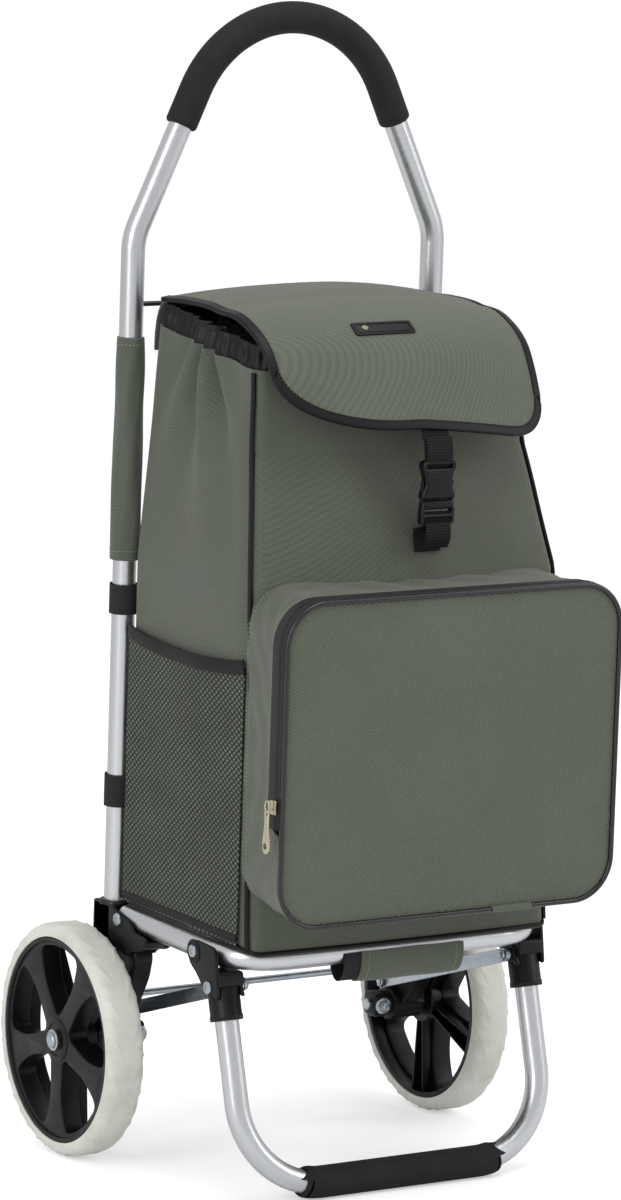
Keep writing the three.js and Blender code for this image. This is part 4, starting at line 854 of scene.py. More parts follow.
# Knitted polyester net: matt black threads with the olive cloth seen through the diamonds.
net, tree, shader, place = finish_of("diamond_net", "#0f1012", 0.7)
knit = math.pi / 0.0078
one = node(tree, "VectorMath", {"operation": "DOT_PRODUCT", 1: (0, knit * 1.15, knit * 1.5)}, _0=place)
two = node(tree, "VectorMath", {"operation": "DOT_PRODUCT", 1: (0, knit * 1.15, -knit * 1.5)}, _0=place)
wave_one = node(tree, "Math", {"operation": "SINE"}, _0=one.outputs["Value"])
wave_two = node(tree, "Math", {"operation": "SINE"}, _0=two.outputs["Value"])
size_one = node(tree, "Math", {"operation": "ABSOLUTE"}, _0=wave_one.outputs[0])
size_two = node(tree, "Math", {"operation": "ABSOLUTE"}, _0=wave_two.outputs[0])
nearest = node(tree, "Math", {"operation": "MINIMUM"}, _0=size_one.outputs[0], _1=size_two.outputs[0])
thread = node(tree, "MapRange", {"From Min": 0.42, "From Max": 0.6}, Value=nearest.outputs[0])
behind = node(tree, "TexNoise", {"Scale": 30.0, "Detail": 3.0}, Vector=place)
cloth_behind = node(tree, "Mix", {"data_type": "RGBA", 6: linear("#474e40"), 7: linear("#6f7866")},
                    Factor=behind.outputs[0])
node(tree, "Mix", {"data_type": "RGBA", 6: linear("#0f1012")}, Factor=thread.outputs[0],
     _7=cloth_behind.outputs[2], into=shader.inputs["Base Color"], out=2)
node(tree, "Bump", {"Strength": 0.7, "Distance": 0.0008, "invert": True}, Height=thread.outputs[0],
     into=shader.inputs["Normal"])



def lined(face, back):
    """A cloth of two layers, as rows of points, closed all round its edges."""
    layers = np.concatenate([face, back[::-1]])
    rows, columns = layers.shape[:2]
    faces = grid_faces(rows, columns, wrap_rows=True)
    for i in range(len(face) - 1):
        j = rows - 1 - i
        for side in (0, columns - 1):
            faces.append(tuple(r * columns + side for r in (i, i + 1, j - 1, j)))
    return layers.reshape(-1, 3), faces


net_top, net_front, net_back = 459, -209, -21
for name, hand in hands:
    z = np.linspace(bag_bottom + 3, net_top, 40)[:, None]
    y = np.linspace(net_front, net_back, 34)[None]
    share_up = (z - bag_bottom) / (net_top - bag_bottom)
    share_in = (y - net_back) / (net_front - net_back)
    belly = np.sin(math.pi * share_in) ** 0.7
    stand = 0.8 + 3.6 * belly * share_up ** 1.4 + 0.7 * np.sin(y / 17 + z / 45) * belly * share_up
    outer = np.stack(np.broadcast_arrays(hand * (150.2 + stand), y, z - 7 * belly * share_up ** 8), -1)
    panel = piece(f"{name}_net_panel", [lined(outer, outer - (hand * 0.7, 0, 0))], net, "chassis",
                  [f"{name}_mesh_pocket"], crease=60)
    top_edge = outer[-1] + (hand * 0.2, 0, -4.5)
    tape = oblong(6, 0.9, 0.8, 3)
    piece(f"{name}_net_top_tape", [swept(top_edge, tape, (0, 0, 1))], black_binding, "chassis")
    low_edge = outer[1] + (hand * 0.1, 0, -0.5)
    piece(f"{name}_net_low_tape", [swept(low_edge, oblong(3.2, 0.7, 0.6, 3),
                                         (0, 0, 1))], black_binding, "chassis")

# ------------------------------------------------------------------ front pocket
# A crisp square pocket: a flat padded panel edged with thick glazed piping, a coil zip just behind
# it, and a soft gusset, topstitched twice, that narrows back to the bag.

pocket_half, pocket_low, pocket_high, pocket_corner = 159, 255, 517, 34
panel_twill = twill_of("panel_twill", "#434939", "#6a7062", depth=0.9)


def pocket_outline(grow=0.0, arc=14, run=44):
    """The pocket's rounded outline in X and Z, grown on every side, starting at the foot of its left side."""
    left, right_, low, high = -pocket_half - grow, pocket_half + grow, pocket_low - grow, pocket_high + grow
    r = pocket_corner + grow
    points = [(left, z) for z in np.linspace(low + r, high - r, run, endpoint=False)]
    points += [(left + r - r * math.cos(a), high - r + r * math.sin(a))
               for a in np.linspace(0, math.pi / 2, arc, endpoint=False)]
    points += [(x, high) for x in np.linspace(left + r, right_ - r, run + 8, endpoint=False)]
    points += [(right_ - r + r * math.sin(a), high - r + r * math.cos(a))
               for a in np.linspace(0, math.pi / 2, arc, endpoint=False)]
    points += [(right_, z) for z in np.linspace(high - r, low + r, run, endpoint=False)]
    points += [(right_ - r + r * math.cos(a), low + r - r * math.sin(a))
               for a in np.linspace(0, math.pi / 2, arc, endpoint=False)]
    points += [(x, low) for x in np.linspace(right_ - r, left + r, run + 8, endpoint=False)]
    points += [(left + r - r * math.sin(a), low + r - r * math.cos(a))
               for a in np.linspace(0, math.pi / 2, arc, endpoint=False)]
    return np.array(points)


def at_depth(points, y):
    points = np.asarray(points)
    return np.stack([points[:, 0], np.broadcast_to(y, len(points)), points[:, 1]], -1)


edge = pocket_outline()
middle = np.array((0, (pocket_low + pocket_high) / 2))
rows = []
for t in np.concatenate([np.linspace(0.02, 0.9, 20), np.linspace(0.92, 1, 6)]):
    face = at_depth(middle + (edge - middle) * t, 0)
    swell = 3.6 * (1 - t ** 5) + 0.5 * np.sin(face[:, 0] / 43 + face[:, 2] / 37) * (1 - t ** 4)
    face[:, 1] = -290.6 - swell
    rows.append(face)
rows += [at_depth(edge, -288.6), at_depth(middle + (edge - middle) * 0.5, -288.4)]
panel_points = np.array(rows)
panel_faces = grid_faces(len(rows), len(edge), wrap_columns=True) + ends_of(len(rows), len(edge))
piece("pocket_front", [(panel_points.reshape(-1, 3), panel_faces)], panel_twill, "chassis",
      ["pocket_panel"], crease=50)

# Coated PVC piping: shiny, with a thin bright line along it that rubs dull in places.
patent = grained("glazed_piping", "#0e0e10", 0.24, {"Scale": 240.0, "Detail": 3.0}, bump=(0.15, 0.0004),
                 gloss=(0.16, 0.36), **{"Coat Weight": 0.3, "Coat Roughness": 0.2})

cord_path = at_depth(pocket_outline(1.9), -291.4)
lip_path = at_depth(pocket_outline(0.7), -289.4)
lip = oblong(0.7, 2.4, 0.5, 2)
piece("pocket_edge_piping", [swept(cord_path, ring(2.2, 16), (0, 1, 0), closed=True),
                             swept(lip_path, lip, (0, 1, 0), closed=True)],
      patent, "chassis", ["pocket_piping"])
joint_run = [i for i, (x, z) in enumerate(pocket_outline(1.9)) if z < 254 and 42 < x < 84]
piece("piping_join",
      [swept(cord_path[joint_run[0]:joint_run[-1] + 1] - (0, 0.4, 0), ring(2.8, 16), (0, 1, 0))],
      olive_twill, "chassis")

# The coil zip: woven black tape, dull beside its piping, with two rows of fine teeth.
zip_end = 335
coil_tape = grained("woven_zip_tape", "#0e0e10", 0.62, {"Scale": 900.0, "Detail": 2.0}, bump=(0.3, 0.0003),
                    shades=("#0f0f10", "#222224"))


def upper_run(grow):
    """The part of the outline above the zip's lower ends, from the left one over the top to the right one."""
    whole = pocket_outline(grow)
    keep = [p for p in whole if p[1] >= zip_end and p[1] > pocket_low + 20]
    left_part = [(-pocket_half - grow, zip_end)]
    return np.array(left_part + [tuple(p) for p in keep] + [(pocket_half + grow, zip_end)])


tape_path = at_depth(upper_run(3.4), -280.6)
tape_section = oblong(9.0, 0.6, 0.5, 2)
piece("coil_zip_tape", [swept(tape_path, tape_section, (0, 1, 0))], coil_tape, "chassis",
                 ["zip_tape"])


def spaced(path, pitch):
    """Places and directions every `pitch` along a path."""
    path = np.asarray(path, float)
    run = run_along(path)
    at = np.arange(pitch / 2, run[-1], pitch)
    spots = np.stack([np.interp(at, run, path[:, i]) for i in range(3)], -1)
    ahead = np.stack([np.interp(np.minimum(at + 0.5, run[-1]), run, path[:, i]) for i in range(3)], -1)
    behind = np.stack([np.interp(np.maximum(at - 0.5, 0), run, path[:, i]) for i in range(3)], -1)
    way = ahead - behind
    return spots, way / np.linalg.norm(way, axis=1, keepdims=True)


def beads(path, pitch, length, width, height, outward):
    """Small rounded lozenges along a path: stitches, or the teeth of a zip."""
    spots, way = spaced(path, pitch)
    outward = np.broadcast_to(np.asarray(outward, float), spots.shape)
    side = np.cross(way, outward)
    side /= np.linalg.norm(side, axis=1, keepdims=True)
    lift = np.cross(side, way)
    shapes = []
    for station, share in ((-0.5, 0.3), (-0.3, 1.0), (0.3, 1.0), (0.5, 0.3)):
        centre = spots + way * (station * length)
        loop = [centre + side * (width * share * math.cos(a)) + lift * (height * share * math.sin(a))
                for a in np.arange(6) * math.pi / 3]
        shapes.append(np.stack(loop, 1))
    points = np.stack(shapes, 1).reshape(-1, 3)
    faces = []
    for i in range(len(spots)):
        base = i * 24
        for row in range(3):
            for a in range(6):
                b = (a + 1) % 6
                faces.append((base + row * 6 + a, base + row * 6 + b, base + row * 6 + 6 + b,
                              base + row * 6 + 6 + a))
        faces += [tuple(base + a for a in range(6)), tuple(base + 18 + a for a in range(6))]
    return points, faces


def outward_of(path):
    """Away from the pocket's middle, at each spot a path's beads fall on."""
    spots, way = path
    away = np.cross(way, (0, 1, 0))
    return away * np.sign((away[:, [0, 2]] * (spots[:, [0, 2]] - middle)).sum(1, keepdims=True))


# Drawn nylon wire, smooth enough that each tooth catches a point of light.
teeth_plastic = grained("nylon_coil_teeth", "#1c1c1e", 0.3, {"Scale": 500.0}, gloss=(0.22, 0.45))
teeth = []
for shift in (-2.45, -0.55):
    row_path = tape_path + (0, shift - 1.5, 0)
    spots = spaced(row_path, 2.5)
    teeth.append(beads(row_path, 2.5, 1.3, 0.9, 1.5, outward_of(spots)))
piece("coil_zip_teeth", teeth, teeth_plastic, "chassis")

# Gusset: soft twill that wrinkles between its seams, with a welt where it meets the bag.
gusset_edge = pocket_outline(2.4)
around_edge = np.linspace(0, 1, len(gusset_edge), endpoint=False)
depths = np.concatenate([[0, 0.012, 0.03], np.linspace(0.06, 0.9, 26), [0.94, 0.97, 1.0]])
start_y = -287.4 + 15.2 * np.clip((gusset_edge[:, 1] - zip_end + 5) / 6, 0, 1)
gusset_away = (gusset_edge - middle) / np.linalg.norm(gusset_edge - middle, axis=1, keepdims=True)
gusset_rows = []
for share in depths:
    narrowing = 1 + share * (146 / pocket_half - 1)
    y = start_y + (-207 - start_y) * share
    wrinkle = (1.0 * np.sin(2 * math.pi * (23 * around_edge + 0.6 * share)) * math.sin(math.pi * share)
               + 0.9 * np.sin(share * 13 + 9 * np.sin(2 * math.pi * 3 * around_edge))
               * math.sin(math.pi * share)
               - 1.6 * math.sin(math.pi * share))
    spot = gusset_edge + gusset_away * wrinkle[:, None]
    x = spot[:, 0] * narrowing
    z = spot[:, 1] + share * np.interp(spot[:, 1], (pocket_low, pocket_high), (1.5, 5.0))
    gusset_rows.append(np.stack([x, y, z], -1))
gusset_points = np.array(gusset_rows)
inner_rows = gusset_points[::-1].copy()
inner_rows[..., [0, 2]] = middle + (inner_rows[..., [0, 2]] - middle) * 0.992
piece("pocket_gusset_cloth", [(np.concatenate([gusset_points, inner_rows]).reshape(-1, 3),
                                        grid_faces(2 * len(depths), len(gusset_edge), True, True))],
               olive_twill, "chassis", ["pocket_gusset"], crease=60)

# Twisted polyester thread, a shade paler than the cloth it sews.
thread_green = grained("sewing_thread", "#8b9a78", 0.6, {"Scale": 1500.0}, shades=("#6d7a5c", "#95a282"))
stitch_pitch, stitch_size = 3.4, (2.3, 0.34, 0.5)
stitch = []
for share, pitch in ((0.06, stitch_pitch), (0.10, stitch_pitch), (0.88, 3.6), (0.92, 3.6)):
    seam = gusset_points[int(np.argmin(np.abs(depths - share)))]
    loop = np.concatenate([seam, seam[:1]])
    stitch.append(beads(loop, pitch, *stitch_size, outward_of(spaced(loop, pitch))))
piece("gusset_topstitching", stitch, thread_green, "chassis")

# Slider and pull, die-cast and plated a pale gold nickel.
pale_nickel = grained("pale_gold_nickel", "#c9c2a8", 0.24, {"Scale": 380.0, "Detail": 3.0},
                      gloss=(0.16, 0.38), metallic=1.0)
slider_x, slider_y, slider_z = -163.4, -283.7, 354
body = pressed([rounded([(-4.2, -6), (4.2, -6), (3.4, 1), (4.4, 6), (-4.4, 6), (-3.4, 1)], 1.4)], 2.4, 0.7)
body = (np.stack([slider_x - 1.5 + body[0][:, 2], slider_y + body[0][:, 0], slider_z + body[0][:, 1]], -1),
        body[1])
bridge_path = [(slider_x - 2.4, slider_y, slider_z - 2), (slider_x - 5.2, slider_y, slider_z - 1.2),
               (slider_x - 6.0, slider_y, slider_z + 1.5), (slider_x - 6.0, slider_y, slider_z + 4.2),
               (slider_x - 5.0, slider_y, slider_z + 5.6), (slider_x - 2.4, slider_y, slider_z + 5.9)]
bridge = swept(bridge_path, oblong(1.3, 0.5, 0.35, 3), (0, 1, 0))
piece("zip_runner", [body, bridge], pale_nickel, "slider", ["zip_slider"])
hang_x, hang_z = slider_x - 7.4, slider_z + 4.6
loop_path = [(hang_x, slider_y + 3.2 * math.sin(a), hang_z - 3.5 + 4.6 * math.cos(a))
             for a in np.linspace(0, 2 * math.pi, 28, endpoint=False)]
ring_part = swept(loop_path, ring(0.75, 12), (1, 0, 0), closed=True)
tag_outline = rounded([(-3.2, -6.5), (3.2, -6.5), (2.6, -20), (4.9, -31), (4.9, -38), (2.8, -42.5),
                       (-2.8, -42.5),
                       (-4.9, -38), (-4.9, -31), (-2.6, -20)], [1.6, 1.6, 6, 4, 3, 3, 3, 3, 4, 6])
tag_hole = circle(0, -36, 2.4, 28)
tag = pressed([tag_outline, tag_hole, rounded([(-1.6, -8.4), (1.6, -8.4), (1.6, -10.6), (-1.6, -10.6)], 0.6)],
              1.8, 0.6)
tag = (np.stack([hang_x + tag[0][:, 2], slider_y + tag[0][:, 0], hang_z + tag[0][:, 1]], -1), tag[1])
eyelet = turned([(2.5, -1.3), (3.6, -1.2), (4.0, 0), (3.6, 1.2), (2.5, 1.3), (2.2, 0), (2.5, -1.3)],
                (hang_x, slider_y, hang_z - 36), (1, 0, 0), 32)
piece("zip_pull_tag", [ring_part, tag, (eyelet[0], eyelet[1][:-2])], pale_nickel, "pull",
      ["zip_pull"])

# ------------------------------------------------------------------ flap
# A stiffened lid of the same twill, sewn on behind the mouth. It arches over the drawcord, folds
# down in front and is bound on three sides with black tape, with a row of stitches beside it.

hinge_y, hinge_z = -27, 739
flap_root_half, flap_sheet_half = 133, 128.5
knots = np.array([(hinge_y, hinge_z), (-70, hinge_z + 3), (-120, hinge_z + 1), (-160, hinge_z - 8),
                  (-188, hinge_z - 24), (-206, hinge_z - 48), (-221, hinge_z - 80), (-231, hinge_z - 103)],
                 float)
knots_out = np.concatenate([knots[:1], knots, knots[-1:]])
curve_points = []
for i in range(len(knots) - 1):
    p0, p1, p2, p3 = knots_out[i:i + 4]
    for t in np.linspace(0, 1, 24, endpoint=i == len(knots) - 2):
        m1, m2 = (p2 - p0) / 2, (p3 - p1) / 2
        curve_points.append((2 * t ** 3 - 3 * t ** 2 + 1) * p1 + (t ** 3 - 2 * t ** 2 + t) * m1
                            + (-2 * t ** 3 + 3 * t ** 2) * p2 + (t ** 3 - t ** 2) * m2)
curve_points = np.array(curve_points)
curve_run = run_along(curve_points)
flap_length = curve_run[-1]
curve_way = np.gradient(curve_points, curve_run, axis=0)


def flap_slump(x):
    """How far the cloth drops away at the sides, more on the right than on the left."""
    return np.where(x < 0, -8.0, -14.0) * (np.abs(x) / flap_root_half) ** 2.4


def flap_point(distance, x, lift=0.0):
    """A place on the flap, from its distance round from the hinge line and its distance across."""
    distance, x = np.broadcast_arrays(np.asarray(distance, float), np.asarray(x, float))
    y = np.interp(distance, curve_run, curve_points[:, 0])
    z = np.interp(distance, curve_run, curve_points[:, 1])
    way_y = np.interp(distance, curve_run, curve_way[:, 0])
    way_z = np.interp(distance, curve_run, curve_way[:, 1])
    share = distance / flap_length
    puff = 1.2 * np.cos(np.clip(x / 150, -1, 1) * math.pi / 2) + 0.5 * np.sin(x / 37 + distance / 29)
    fold = -1.3 * np.exp(-((share - 0.36) / 0.05) ** 2) + 0.8 * np.exp(-((share - 0.46) / 0.06) ** 2)
    rise = lift + flap_slump(x) + puff + fold
    return np.stack([x, y + way_z * rise, z - way_y * rise], -1)


flap_half = lambda distance: flap_root_half - 5 * distance / flap_length


def flap_end(x):
    """How far round the flap's front edge lies: a long sweep on the left, a short corner on the right."""
    x = np.asarray(x, float)
    sweep = 198 + 50 * np.sqrt(np.clip(1 - (np.clip(-x - 16, 0, None) / 112) ** 2, 0, 1))
    corner = 256 - 28 + np.sqrt(np.clip(28 ** 2 - np.clip(x - 100, 0, None) ** 2, 0, None))
    return np.minimum(sweep + 8 * np.clip(x / 91, 0, 1), corner)


def flap_sheet_point(t, c, inset, lift):
    """A place on the flap by its shares along and across, drawn in from the edges."""
    x = c * (flap_sheet_half - inset)
    end = flap_end(x * flap_sheet_half / (flap_sheet_half - inset)) - inset
    distance = t * end
    return flap_point(distance, x + c * (flap_half(distance) - flap_sheet_half), lift)


spread = np.sin(np.linspace(-1, 1, 71) * math.pi / 2)
shares = np.linspace(0, 1, 66)[:, None]
lid = lined(flap_sheet_point(shares, spread, 3.4, 3.0), flap_sheet_point(shares, spread, 3.4, 0.4))
flap = piece("flap_lid", [lid], panel_twill, "flap", ["flap_panel"], crease=60)


def flap_border(inset, lift):
    """The flap's edge, drawn in by `inset`: down its left side, along the front and up its right side."""
    t = np.concatenate([np.linspace(0, 1, 60)[:-1], np.ones(90), np.linspace(1, 0, 60)[1:]])
    c = np.concatenate([np.full(59, -1.0), np.sin(np.linspace(-1, 1, 90) * math.pi / 2), np.full(59, 1.0)])
    return flap_sheet_point(t, c, inset, lift)


rim_line = flap_border(3.9, 1.7)
inward = flap_border(5.5, 1.7) - flap_border(2.5, 1.7)
inward /= np.linalg.norm(inward, axis=1, keepdims=True)
binding = swept(rim_line, oblong(4.2, 2.2, 1.6, 4), inward)
piece("flap_edge_tape", [binding], black_binding, "flap", ["flap_binding"], crease=45)
seam_line = flap_border(6.6, 4.0)
out_of_flap = flap_border(6.6, 5.0) - seam_line
seam_run = run_along(seam_line)
seam_at = np.arange(stitch_pitch / 2, seam_run[-1], stitch_pitch)
seam_lift = np.stack([np.interp(seam_at, seam_run, out_of_flap[:, i]) for i in range(3)], -1)
piece("flap_topstitching", [beads(seam_line, stitch_pitch, 2.3, 0.32, 0.4, seam_lift)], black_binding, "flap")

# The flap is sewn to the top of the bag's back by a short apron, which stays put when the flap opens.
apron_x = np.linspace(-131, 131, 60)
apron_rows = []
for y, z in ((-14.8, 690), (-14.9, 705), (-16.2, 718), (-19.5, 729), (-24.0, 736.5), (-28.5, 740.2)):
    slump = flap_slump(apron_x) * np.clip((z - 700) / 39, 0, 1)
    apron_rows.append(np.stack([apron_x, y + 0.5 * np.sin(apron_x / 21 + z / 9), z + slump], -1))
apron = np.array(apron_rows)
piece("flap_apron", [lined(apron, apron + (0, -1.6, -0.8))], olive_twill, "chassis",
      crease=60)

# A small moulded badge, sewn on the front slope: a plain raised frame and one lozenge.
badge_d, badge_x = 0.615 * flap_length, -13
plate_points, plate_faces = pressed([oblong(28.5, 7, 2.2)], 1.8, 0.6)
frame_points, frame_faces = pressed([oblong(26.4, 5, 1.6),
                                     oblong(25.4, 4, 1.2)], 0.8, 0.2)
mark_points, mark_faces = pressed([rounded([(-21.5, 0), (-18, 3.2), (-14.5, 0), (-18, -3.2)], 0.8)], 0.9, 0.3)
on_badge = lambda points, lift: flap_point(badge_d - points[:, 1], badge_x + points[:, 0],
                                           4.0 + lift + points[:, 2])
piece("flap_badge", [(on_badge(plate_points, 0), plate_faces), (on_badge(frame_points, 1.0), frame_faces)],
              nylon, "flap", ["flap_label"])
piece("flap_badge_mark", [(on_badge(mark_points, 1.1), mark_faces)], thread_green, "flap")

# ------------------------------------------------------------------ buckle and webbing
# A side-release buckle in acetal: the socket hangs on the flap and the plug's tape is sewn to the
# bag. The webbing is ribbed polypropylene, 25 mm wide.

webbing, tree, shader, place = finish_of("ribbed_webbing", "#0c0c0e", 0.72, **{"Specular IOR Level": 0.25})
ribs = node(tree, "VectorMath", {"operation": "DOT_PRODUCT", 1: (0, 400, 2600)}, _0=place)
rib = node(tree, "Math", {"operation": "SINE"}, _0=ribs.outputs["Value"])
warps = node(tree, "VectorMath", {"operation": "DOT_PRODUCT", 1: (3900, 0, 0)}, _0=place)
warp = node(tree, "Math", {"operation": "SINE"}, _0=warps.outputs["Value"])
both = node(tree, "Math", {"operation": "MULTIPLY_ADD", 1: 0.5}, _0=warp.outputs[0], _2=rib.outputs[0])
node(tree, "Bump", {"Strength": 0.55, "Distance": 0.0005}, Height=both.outputs[0],
     into=shader.inputs["Normal"])
tone = node(tree, "MapRange", {"From Min": -1.5, "From Max": 1.5}, Value=both.outputs[0])
node(tree, "Mix", {"data_type": "RGBA", 6: linear("#0a0a0b"), 7: linear("#1c1c1f")}, Factor=tone.outputs[0],
     into=shader.inputs["Base Color"], out=2)

# Acetal moulds with a close, waxy skin, so its highlights are soft and clear.
acetal = grained("black_acetal", "#0a0a0c", 0.3, {"Scale": 120.0, "Detail": 3.0}, gloss=(0.24, 0.42),
                 **{"Specular IOR Level": 0.32})

buckle_x, buckle_y = 11, -236.4


def front_part(outlines, y, thickness, rounding):
    """A pressed part facing the front, its outline in X (from the buckle's middle) and Z."""
    points, faces = pressed(outlines, thickness, rounding)
    return np.stack([points[:, 0] + buckle_x, points[:, 2] + y, points[:, 1]], -1), faces


def strap(path, width=25, thick=1.8):
    half = width / 2
    section = oblong(half, thick / 2, 0.7, 3)
    return swept(path, section, (1, 0, 0))


socket = [
    front_part([rounded([(-16.3, 588.6), (16.3, 588.6), (15.8, 594), (12.6, 600), (13.4, 607), (15.8, 613),
                         (15.4, 620.6),
                         (-15.4, 620.6), (-15.8, 613), (-13.4, 607), (-12.6, 600), (-15.8, 594)],
                        [2.5, 2.5, 4, 5, 5, 4, 3, 3, 4, 5, 5, 4]),
                rounded([(-12.6, 614.4), (12.6, 614.4), (12.6, 617.6), (-12.6, 617.6)], 1.2)], buckle_y, 9.6,
               2.6),
    front_part([rounded([(-13, 589.8), (13, 589.8), (10.6, 600), (13, 611.5), (-13, 611.5), (-10.6, 600)],
                        [2, 2, 6, 3, 3, 6])], buckle_y - 4.8, 1.8, 0.8),
]
piece("buckle_socket_shell", socket, acetal, "flap", ["buckle_socket"])
plug = [
    front_part([rounded([(-16.2, 567.4), (16.2, 567.4), (16.4, 578), (14.8, 587.8), (-14.8, 587.8),
                         (-16.4, 578)],
                        [3, 3, 5, 3, 3, 5]),
                rounded([(-13, 569.8), (13, 569.8), (13, 572.4), (-13, 572.4)], 1.0),
                rounded([(-13, 577.0), (13, 577.0), (13, 580.0), (-13, 580.0)], 1.0)], buckle_y, 8.0, 2.2),
    front_part([rounded([(-13.4, 582.2), (13.4, 582.2), (13.0, 586.6), (-13.0, 586.6)], 1.6)], buckle_y - 4.2,
               1.6, 0.6),
    front_part([rounded([(-3.5, 586), (3.5, 586), (3.5, 604), (-3.5, 604)], 1)], buckle_y, 3.0, 0.8),
    front_part([rounded([(-16.0, 585), (-12.4, 585), (-13.0, 600), (-15.0, 604)], 1.2)], buckle_y, 3.4, 0.9),
    front_part([rounded([(12.4, 585), (16.0, 585), (15.0, 604), (13.0, 600)], 1.2)], buckle_y, 3.4, 0.9),
]
piece("buckle_plug_shell", plug, acetal, "chassis", ["buckle_plug"])
upper_path = [(buckle_x, y, z) for y,
              z in ((-226.6, 648), (-231.4, 641), (-234.4, 634), (-235.8, 626), (-236.2, 615.6))]
fold_path = [(buckle_x, y, z) for y,
             z in ((-236.8, 640), (-239.2, 631), (-239.8, 623), (-238.8, 617.4), (-236.6, 615.6))]
piece("upper_strap", [strap(upper_path), strap(fold_path, 24.6)], webbing, "flap",
      ["upper_webbing"])
down = np.array([562.0, 556.0, 549.0, 543.4])
bag_front = bag_point(buckle_x / 148, 1.0, down, 1.9)
lower_path = np.concatenate([[(buckle_x, -237.2, 578.6), (buckle_x, -238.2, 571.0),
                              (buckle_x, -236.4, 566.0)],
                             np.stack([np.full(4, buckle_x), bag_front[:, 1] - (2.4, 1.0, 0.3, 0), down],
                                      -1)])
tail_path = [(buckle_x - 1, -240.4, 569.4), (buckle_x - 1, -242.6, 563.0), (buckle_x - 1, -242.4, 556.5),
             (buckle_x - 1, -240.2, 551.5), (buckle_x - 1, -238.2, 548.6)]
box_row = [[(buckle_x - 9.6, bag_front[k, 1] - 1.3, z), (buckle_x + 9.6, bag_front[k, 1] - 1.3, z)]
           for k, z in ((2, 550.0), (3, 545.0))]
piece("lower_strap",
      [strap(lower_path), strap(tail_path, 24)]
      + [beads(line, 2.6, 2.0, 0.35, 0.5, (0, -1, 0)) for line in box_row],
      webbing, "chassis", ["lower_webbing"])

# ------------------------------------------------------------------ sleeves and straps on the tubes
# Twill sleeves sewn to the back of the bag slip over the uprights; they are looser at the bottom and
# have a stitched hem at each end. Two hook-and-loop straps below them wrap each tube.

sleeve_low, sleeve_high, cloth = 512, 700, 0.9
for name, hand in hands:
    z = np.concatenate([sleeve_low + np.array([0, 0.4, 1.4]), np.linspace(516, 694, 46),
                        sleeve_high - np.array([2.4, 0.6, 0])])
    sides_count = 48
    around = np.arange(sides_count) * 2 * math.pi / sides_count
    rows = []
    for height in z:
        low_share = (sleeve_high - height) / (sleeve_high - sleeve_low)
        wide = 11.5 + 1.4 * low_share + 0.35 * math.sin(height / 13)
        deep = 12.0 + 2.2 * low_share
        crease = 0.45 * np.sin(3 * around + height / 23) + 0.3 * np.sin(5 * around - height / 15)
        end = cloth if height in (sleeve_low, sleeve_high) else 0
        rows.append(np.stack([hand * tube_x + (wide + crease - end) * np.cos(around),
                              handle_y + (deep + crease - end) * np.sin(around),
                              np.full(sides_count, height)], -1))
    rows = np.array(rows)
    centre = np.array((hand * tube_x, handle_y, 0))
    lining_rows = rows[::-1].copy()
    flat_part = lining_rows[..., :2] - centre[:2]
    lining_rows[...,
                :2] = centre[:2] + flat_part * (1 - cloth / np.linalg.norm(flat_part, axis=-1, keepdims=True))
    piece(f"{name}_upright_sleeve", [(np.concatenate([rows, lining_rows]).reshape(-1, 3),
                                               grid_faces(2 * len(z), sides_count, True, True))],
                   olive_twill, "chassis", [f"{name}_tube_sleeve"], crease=60)
    hems = []
    for height in (sleeve_low + 7.5, sleeve_high - 7.5):
        row = rows[int(np.argmin(np.abs(z - height)))]
        loop = np.concatenate([row, row[:1]])
        away = (spaced(loop, stitch_pitch)[0] - centre) * (1, 1, 0)
        hems.append(beads(loop, stitch_pitch, *stitch_size, away))
    piece(f"{name}_sleeve_hem_stitches", hems, thread_green, "chassis")

# Nylon hooks and loops stand as a fine, lightless pile.
hook_tape = grained("hook_and_loop_tape", "#151517", 0.88, {"Scale": 900.0}, kind="TexVoronoi",
                    bump=(0.6, 0.0006), shades=("#0e0e10", "#28282b"))
for name, hand in hands:
    for level, low, high in (("upper", 466, 491), ("lower", 301, 328)):
        half = (high - low) / 2
        lap = [(hand * tube_x + (11.4 + 0.28 * a) * math.cos(a + 1.2),
                handle_y + (11.4 + 0.28 * a) * math.sin(a + 1.2),
                (low + high) / 2) for a in np.linspace(0, 2 * math.pi + 0.9, 60)]
        band = oblong(half, 0.45, 0.35, 2)
        piece(f"{name}_{level}_hook_strap", [swept(lap, band, (0, 0, 1))], hook_tape, "chassis",
              [f"{name}_{level}_tape_strap"])

# The strap under the bag is a wide twill loop round the platform's front tube, closed with
# hook-and-loop on its inner face, which shows at its left end. It hangs a little slack.
loop_z = 203.4
loop_angle = np.linspace(0.12 * math.pi, -1.12 * math.pi, 44)
stations = 11 + np.concatenate([[-50, -49.4, -48.6], np.linspace(-46, 46, 30), [48.6, 49.4, 50]])


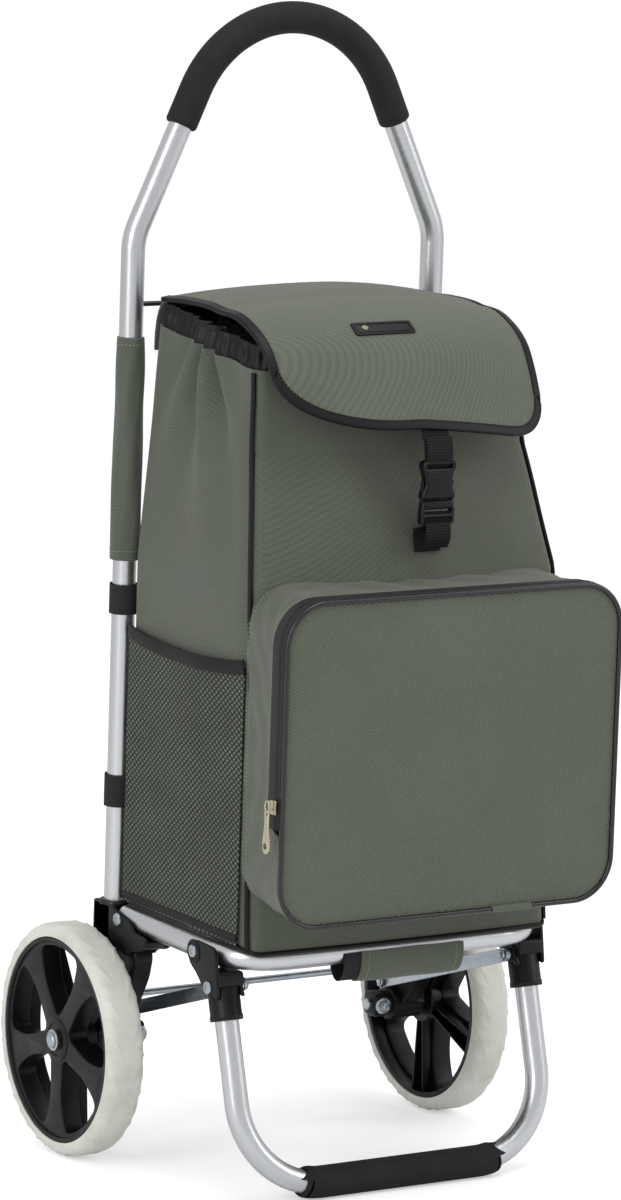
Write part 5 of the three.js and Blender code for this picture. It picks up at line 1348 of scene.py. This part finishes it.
def loop_sheet(stations, grow, thickness):
    rows = []
    for x in stations:
        bow = 0.6 * math.sin((x + 39) / 100 * math.pi)
        rows.append(np.stack([np.full(len(loop_angle), x),
                              crosspiece_y + (13.4 + grow + bow * 0.4) * np.cos(loop_angle),
                              loop_z + (20.4 + grow + bow) * np.sin(loop_angle) + 0.3 * np.sin(x / 9)], -1))
    outer = np.array(rows)
    inner = outer[:, ::-1].copy()
    centre = np.array((0, crosspiece_y, loop_z))
    offset = inner - centre
    offset[..., 0] = 0
    inner = inner - offset / np.linalg.norm(offset, axis=-1, keepdims=True) * thickness
    ring_rows = np.concatenate([outer, inner], 1)
    count = ring_rows.shape[1]
    faces = grid_faces(len(stations), count, wrap_columns=True) + ends_of(len(stations), count)
    return outer, (ring_rows.reshape(-1, 3), faces)


outer, loop_shape = loop_sheet(stations, 0.0, 1.4)
piece("crosspiece_loop", [loop_shape], olive_twill, "platform", ["crosspiece_strap"],
      crease=60)
strap_rows = [outer[int(np.argmin(np.abs(stations - x)))] for x in (-31, 53)]
away_from = lambda spots: (spots - (0, crosspiece_y, loop_z)) * (0, 1, 1)
piece("crosspiece_loop_stitches",
      [beads(row, stitch_pitch, *stitch_size, away_from(spaced(row, stitch_pitch)[0])) for row in strap_rows],
      thread_green, "platform")
_, patch_shape = loop_sheet(np.linspace(-55, -19, 8), -1.5, 0.9)
piece("crosspiece_hook_patch", [patch_shape], hook_tape, "platform")

# ------------------------------------------------------------------ fresh meshes for the bag's parts
# The bag's cloth, and the parts that hang on it, each get a fresh copy of their mesh.

for soft in ("bag_shell", "bag_base_board", "left_front_piping", "right_front_piping", "bottom_edge_binding",
             "gathered_collar", "left_net_panel", "right_net_panel", "left_net_top_tape",
             "right_net_top_tape",
             "left_net_low_tape", "right_net_low_tape", "pocket_front", "pocket_edge_piping", "piping_join",
             "coil_zip_tape", "coil_zip_teeth", "pocket_gusset_cloth", "gusset_topstitching", "zip_runner",
             "zip_pull_tag", "lower_strap", "buckle_plug_shell", "flap_apron", "flap_lid", "flap_edge_tape",
             "flap_topstitching", "flap_badge", "flap_badge_mark", "buckle_socket_shell", "upper_strap"):
    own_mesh(bpy.data.objects[soft])
